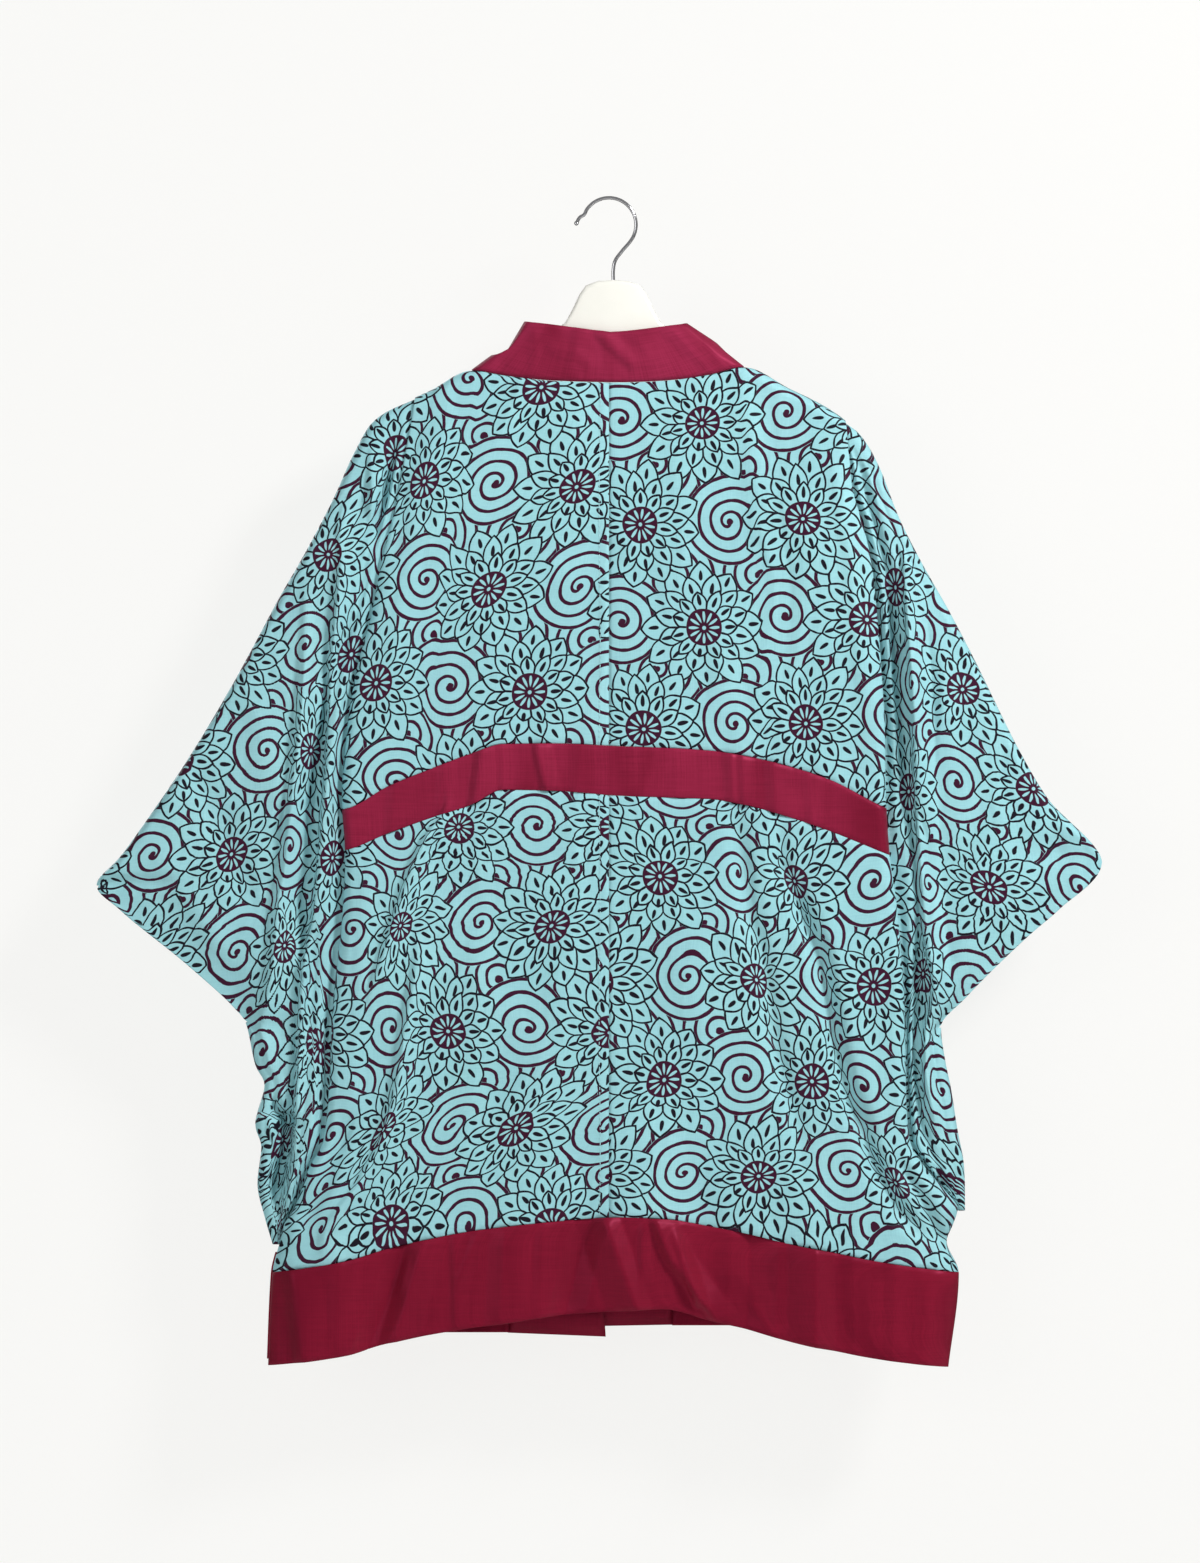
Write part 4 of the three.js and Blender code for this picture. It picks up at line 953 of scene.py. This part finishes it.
for name, shift in (("left", (0.070, 0.044)), ("right", (0.020, 0.105))):
    places = sleeve_rows(SLEEVES[name])
    place, keep = sleeve_place(name, SLEEVES[name], places)
    make_cloth(f"sleeve_cloth_{name}", (COLUMNS, len(places) - 1), place, PRINTED, [f"sleeve_{name}"],
               [f"upper_back_{name}", f"front_panel_{name}"],
               shift=shift, keep=keep, doubled=True, folds=SLEEVE_FOLDS)


def facing_place(u, v):
    z = mix(*FACING_ENDS, v)
    inside = mix(-FACING_PROUD, FACING_WIDTH, u)
    depth = edge_depth(z) + STEP_BACK - SEAM - CLOTH / 2 - CLEAR
    return side["left"](z) + inside, -depth, z


make_cloth("slit_facing", (6, 30), facing_place, BURGUNDY, ["slit_facing_left"], ["hem_band_cloth"])


# Sewing


def stitches(name, spots, material, size):
    """Short threads, each placed and turned as (x, y, z, tilt) says, in millimetres and radians."""
    bm = bmesh.new()
    for x, y, z, tilt in spots:
        spot = Matrix.Translation(Vector((x, y, z)) * MM) @ Matrix.Rotation(tilt, 4, "Y")
        bmesh.ops.create_cube(bm, size=1, matrix=spot @ Matrix.Diagonal((*(s * MM for s in size), 1)))
    finish_piece(add_mesh(name, bm, material))


STITCH_LINE = -8.6  # the row of stitching beside the centre seam
STITCH_STEP = 4.6
STITCH_GAP = 3  # from the cross seams to the first and last stitches
spots = []
for top, bottom in (("neck", "waist_top"), ("waist_end", "hem_top")):
    start, end = cross[top](STITCH_LINE) - STITCH_GAP, cross[bottom](STITCH_LINE) + STITCH_GAP
    for z in np.arange(start, end, -STITCH_STEP):
        x = STITCH_LINE + 0.5 * math.sin(z / 37)
        _, y, _ = body_point(np.array(x), np.array(z), -1, hang["back"], BACK_FOLDS)
        spots.append((x, float(y) - CLOTH / 2 - 0.1, z, 0.06 * math.sin(z * 3.1)))
stitches("centre_stitching", spots, PALE_THREAD, (0.7, 0.35, 2.8))
stitches("collar_tack", [(2.8, -10.9, -124.5, 0.2), (3.3, -10.9, -126.5, -0.1)], DARK_THREAD, (0.8, 0.5, 2.2))


# The hanger

# The moulded body is joined up so that it shades smoothly.
bm = bmesh.new()
bm.from_mesh(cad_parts["hanger_body"].data)
bmesh.ops.remove_doubles(bm, verts=bm.verts, dist=1e-5)
body = add_mesh("moulded_hanger", bm, WHITE)
body.data.set_sharp_from_angle(angle=math.radians(40))
finish_piece(body, ["hanger_body"])

HOOK = 24.8  # radius of the bend
WIRE, BALL = 1.6, 2.1  # radii of the wire and of the ball at its tip
HOOK_TIP = (-30, -21.8)
bend = np.radians(np.linspace(158, -32, 16))
hook_path = [HOOK_TIP, (-27, -16.6)]
hook_path += [(math.cos(angle) * HOOK, math.sin(angle) * HOOK - HOOK + WIRE) for angle in bend]
hook_path += [(11, -48.6), (5.6, -56.5), (4, -64), (4, -77)]
curve = bpy.data.curves.new("hook", "CURVE")
curve.dimensions = "3D"
line = curve.splines.new("BEZIER")
line.bezier_points.add(len(hook_path) - 1)
for point, (x, z) in zip(line.bezier_points, hook_path):
    point.co = Vector((x, 0, z)) * MM
    point.handle_left_type = point.handle_right_type = "AUTO"
curve.bevel_depth = WIRE * MM
curve.bevel_resolution = 6
curve.resolution_u = 8
curve.use_fill_caps = True
wire = bpy.data.objects.new("hook wire", curve)
bm = bmesh.new()
bm.from_mesh(wire.to_mesh())
tip = Matrix.Translation(Vector((HOOK_TIP[0], 0, HOOK_TIP[1])) * MM)
bmesh.ops.create_uvsphere(bm, u_segments=20, v_segments=12, radius=BALL * MM, matrix=tip)
hook = add_mesh("hook_wire", bm, CHROME)
bpy.data.objects.remove(wire)
finish_piece(hook, ["hanger_hook"])


# The studio

WALL_Y, WALL_HALF = 0.08, 4
FLOOR_Z, FLOOR_HALF = -1.32, 6
WALL_GLOW = 0.88


def flat_square(name, half, place, hex_code, rough):
    bm = bmesh.new()
    bmesh.ops.create_grid(bm, x_segments=1, y_segments=1, size=half, matrix=place)
    material, g, shader = new_material("pale " + name)
    g.fill(shader, Base_Color=colour(hex_code), Roughness=rough)
    return add_mesh(name, bm, material), g, shader


def backdrop():
    """A pale wall close behind the jacket and a pale floor. From behind, and to light, there is no wall."""
    upright = Matrix.Translation((0, WALL_Y, FLOOR_Z + WALL_HALF)) @ Matrix.Rotation(math.pi / 2, 4, "X")
    wall, g, shader = flat_square("wall", WALL_HALF, upright, "5a5958", 0.9)
    path = g.node("LightPath")
    glow = Sum(g, path.outputs["Is Camera Ray"]) * WALL_GLOW
    g.fill(shader, Emission_Color=colour("f9f9f7"), Emission_Strength=glow)
    behind = Sum(g, g.node("NewGeometry").outputs["Backfacing"])
    gone = Sum(g, path.outputs["Is Shadow Ray"]).do("MAXIMUM", behind)
    either = g.node("MixShader", gone, shader.outputs[0], g.node("BsdfTransparent").outputs[0])
    output = next(node for node in g.tree.nodes if node.type == "OUTPUT_MATERIAL")
    g.put(output.inputs[0], either.outputs[0])
    floor = flat_square("floor", FLOOR_HALF, Matrix.Translation((0, 0, FLOOR_Z)), "d2d1cf", 0.8)[0]


def light(name, place, size, power):
    """A square light that faces the jacket's middle."""
    lamp = bpy.data.lights.new(name, "AREA")
    lamp.size, lamp.energy = size, power
    made = bpy.data.objects.new(name, lamp)
    bpy.context.scene.collection.objects.link(made)
    made.location = place
    made.rotation_euler = (MIDDLE - Vector(place)).to_track_quat("-Z", "Y").to_euler()


MIDDLE = Vector((-0.0083, 0, -0.5354))
LENS = 180
FIELD = 1.438  # height of the picture at the jacket
SKY, SKY_SEEN = 0.3, 0.5  # the room's light, and what is added where the camera sees it

backdrop()
light("key", (2.1, -1.7, 1.4), 0.7, 98)
light("fill", (-2.2, -2.4, -0.1), 1.8, 24)
light("behind", (-1.2, 2.8, 0.4), 2.2, 100)

world = bpy.data.worlds.new("studio")
world.use_nodes = True
sky = Graph(world.node_tree)
background = world.node_tree.nodes["Background"]
background.inputs[0].default_value = (1, 1, 1, 1)
seen = Sum(sky, sky.node("LightPath").outputs["Is Camera Ray"])
sky.put(background.inputs[1], seen * SKY_SEEN + SKY)
bpy.context.scene.world = world
bpy.context.scene.view_settings.view_transform = "Standard"

camera = bpy.data.cameras.new("camera")
camera.lens = LENS
eye = bpy.data.objects.new("camera", camera)
bpy.context.scene.collection.objects.link(eye)
eye.location = MIDDLE + Vector((0, -FIELD * LENS / camera.sensor_width, 0))
eye.rotation_euler = (math.pi / 2, 0, 0)
bpy.context.scene.camera = eye
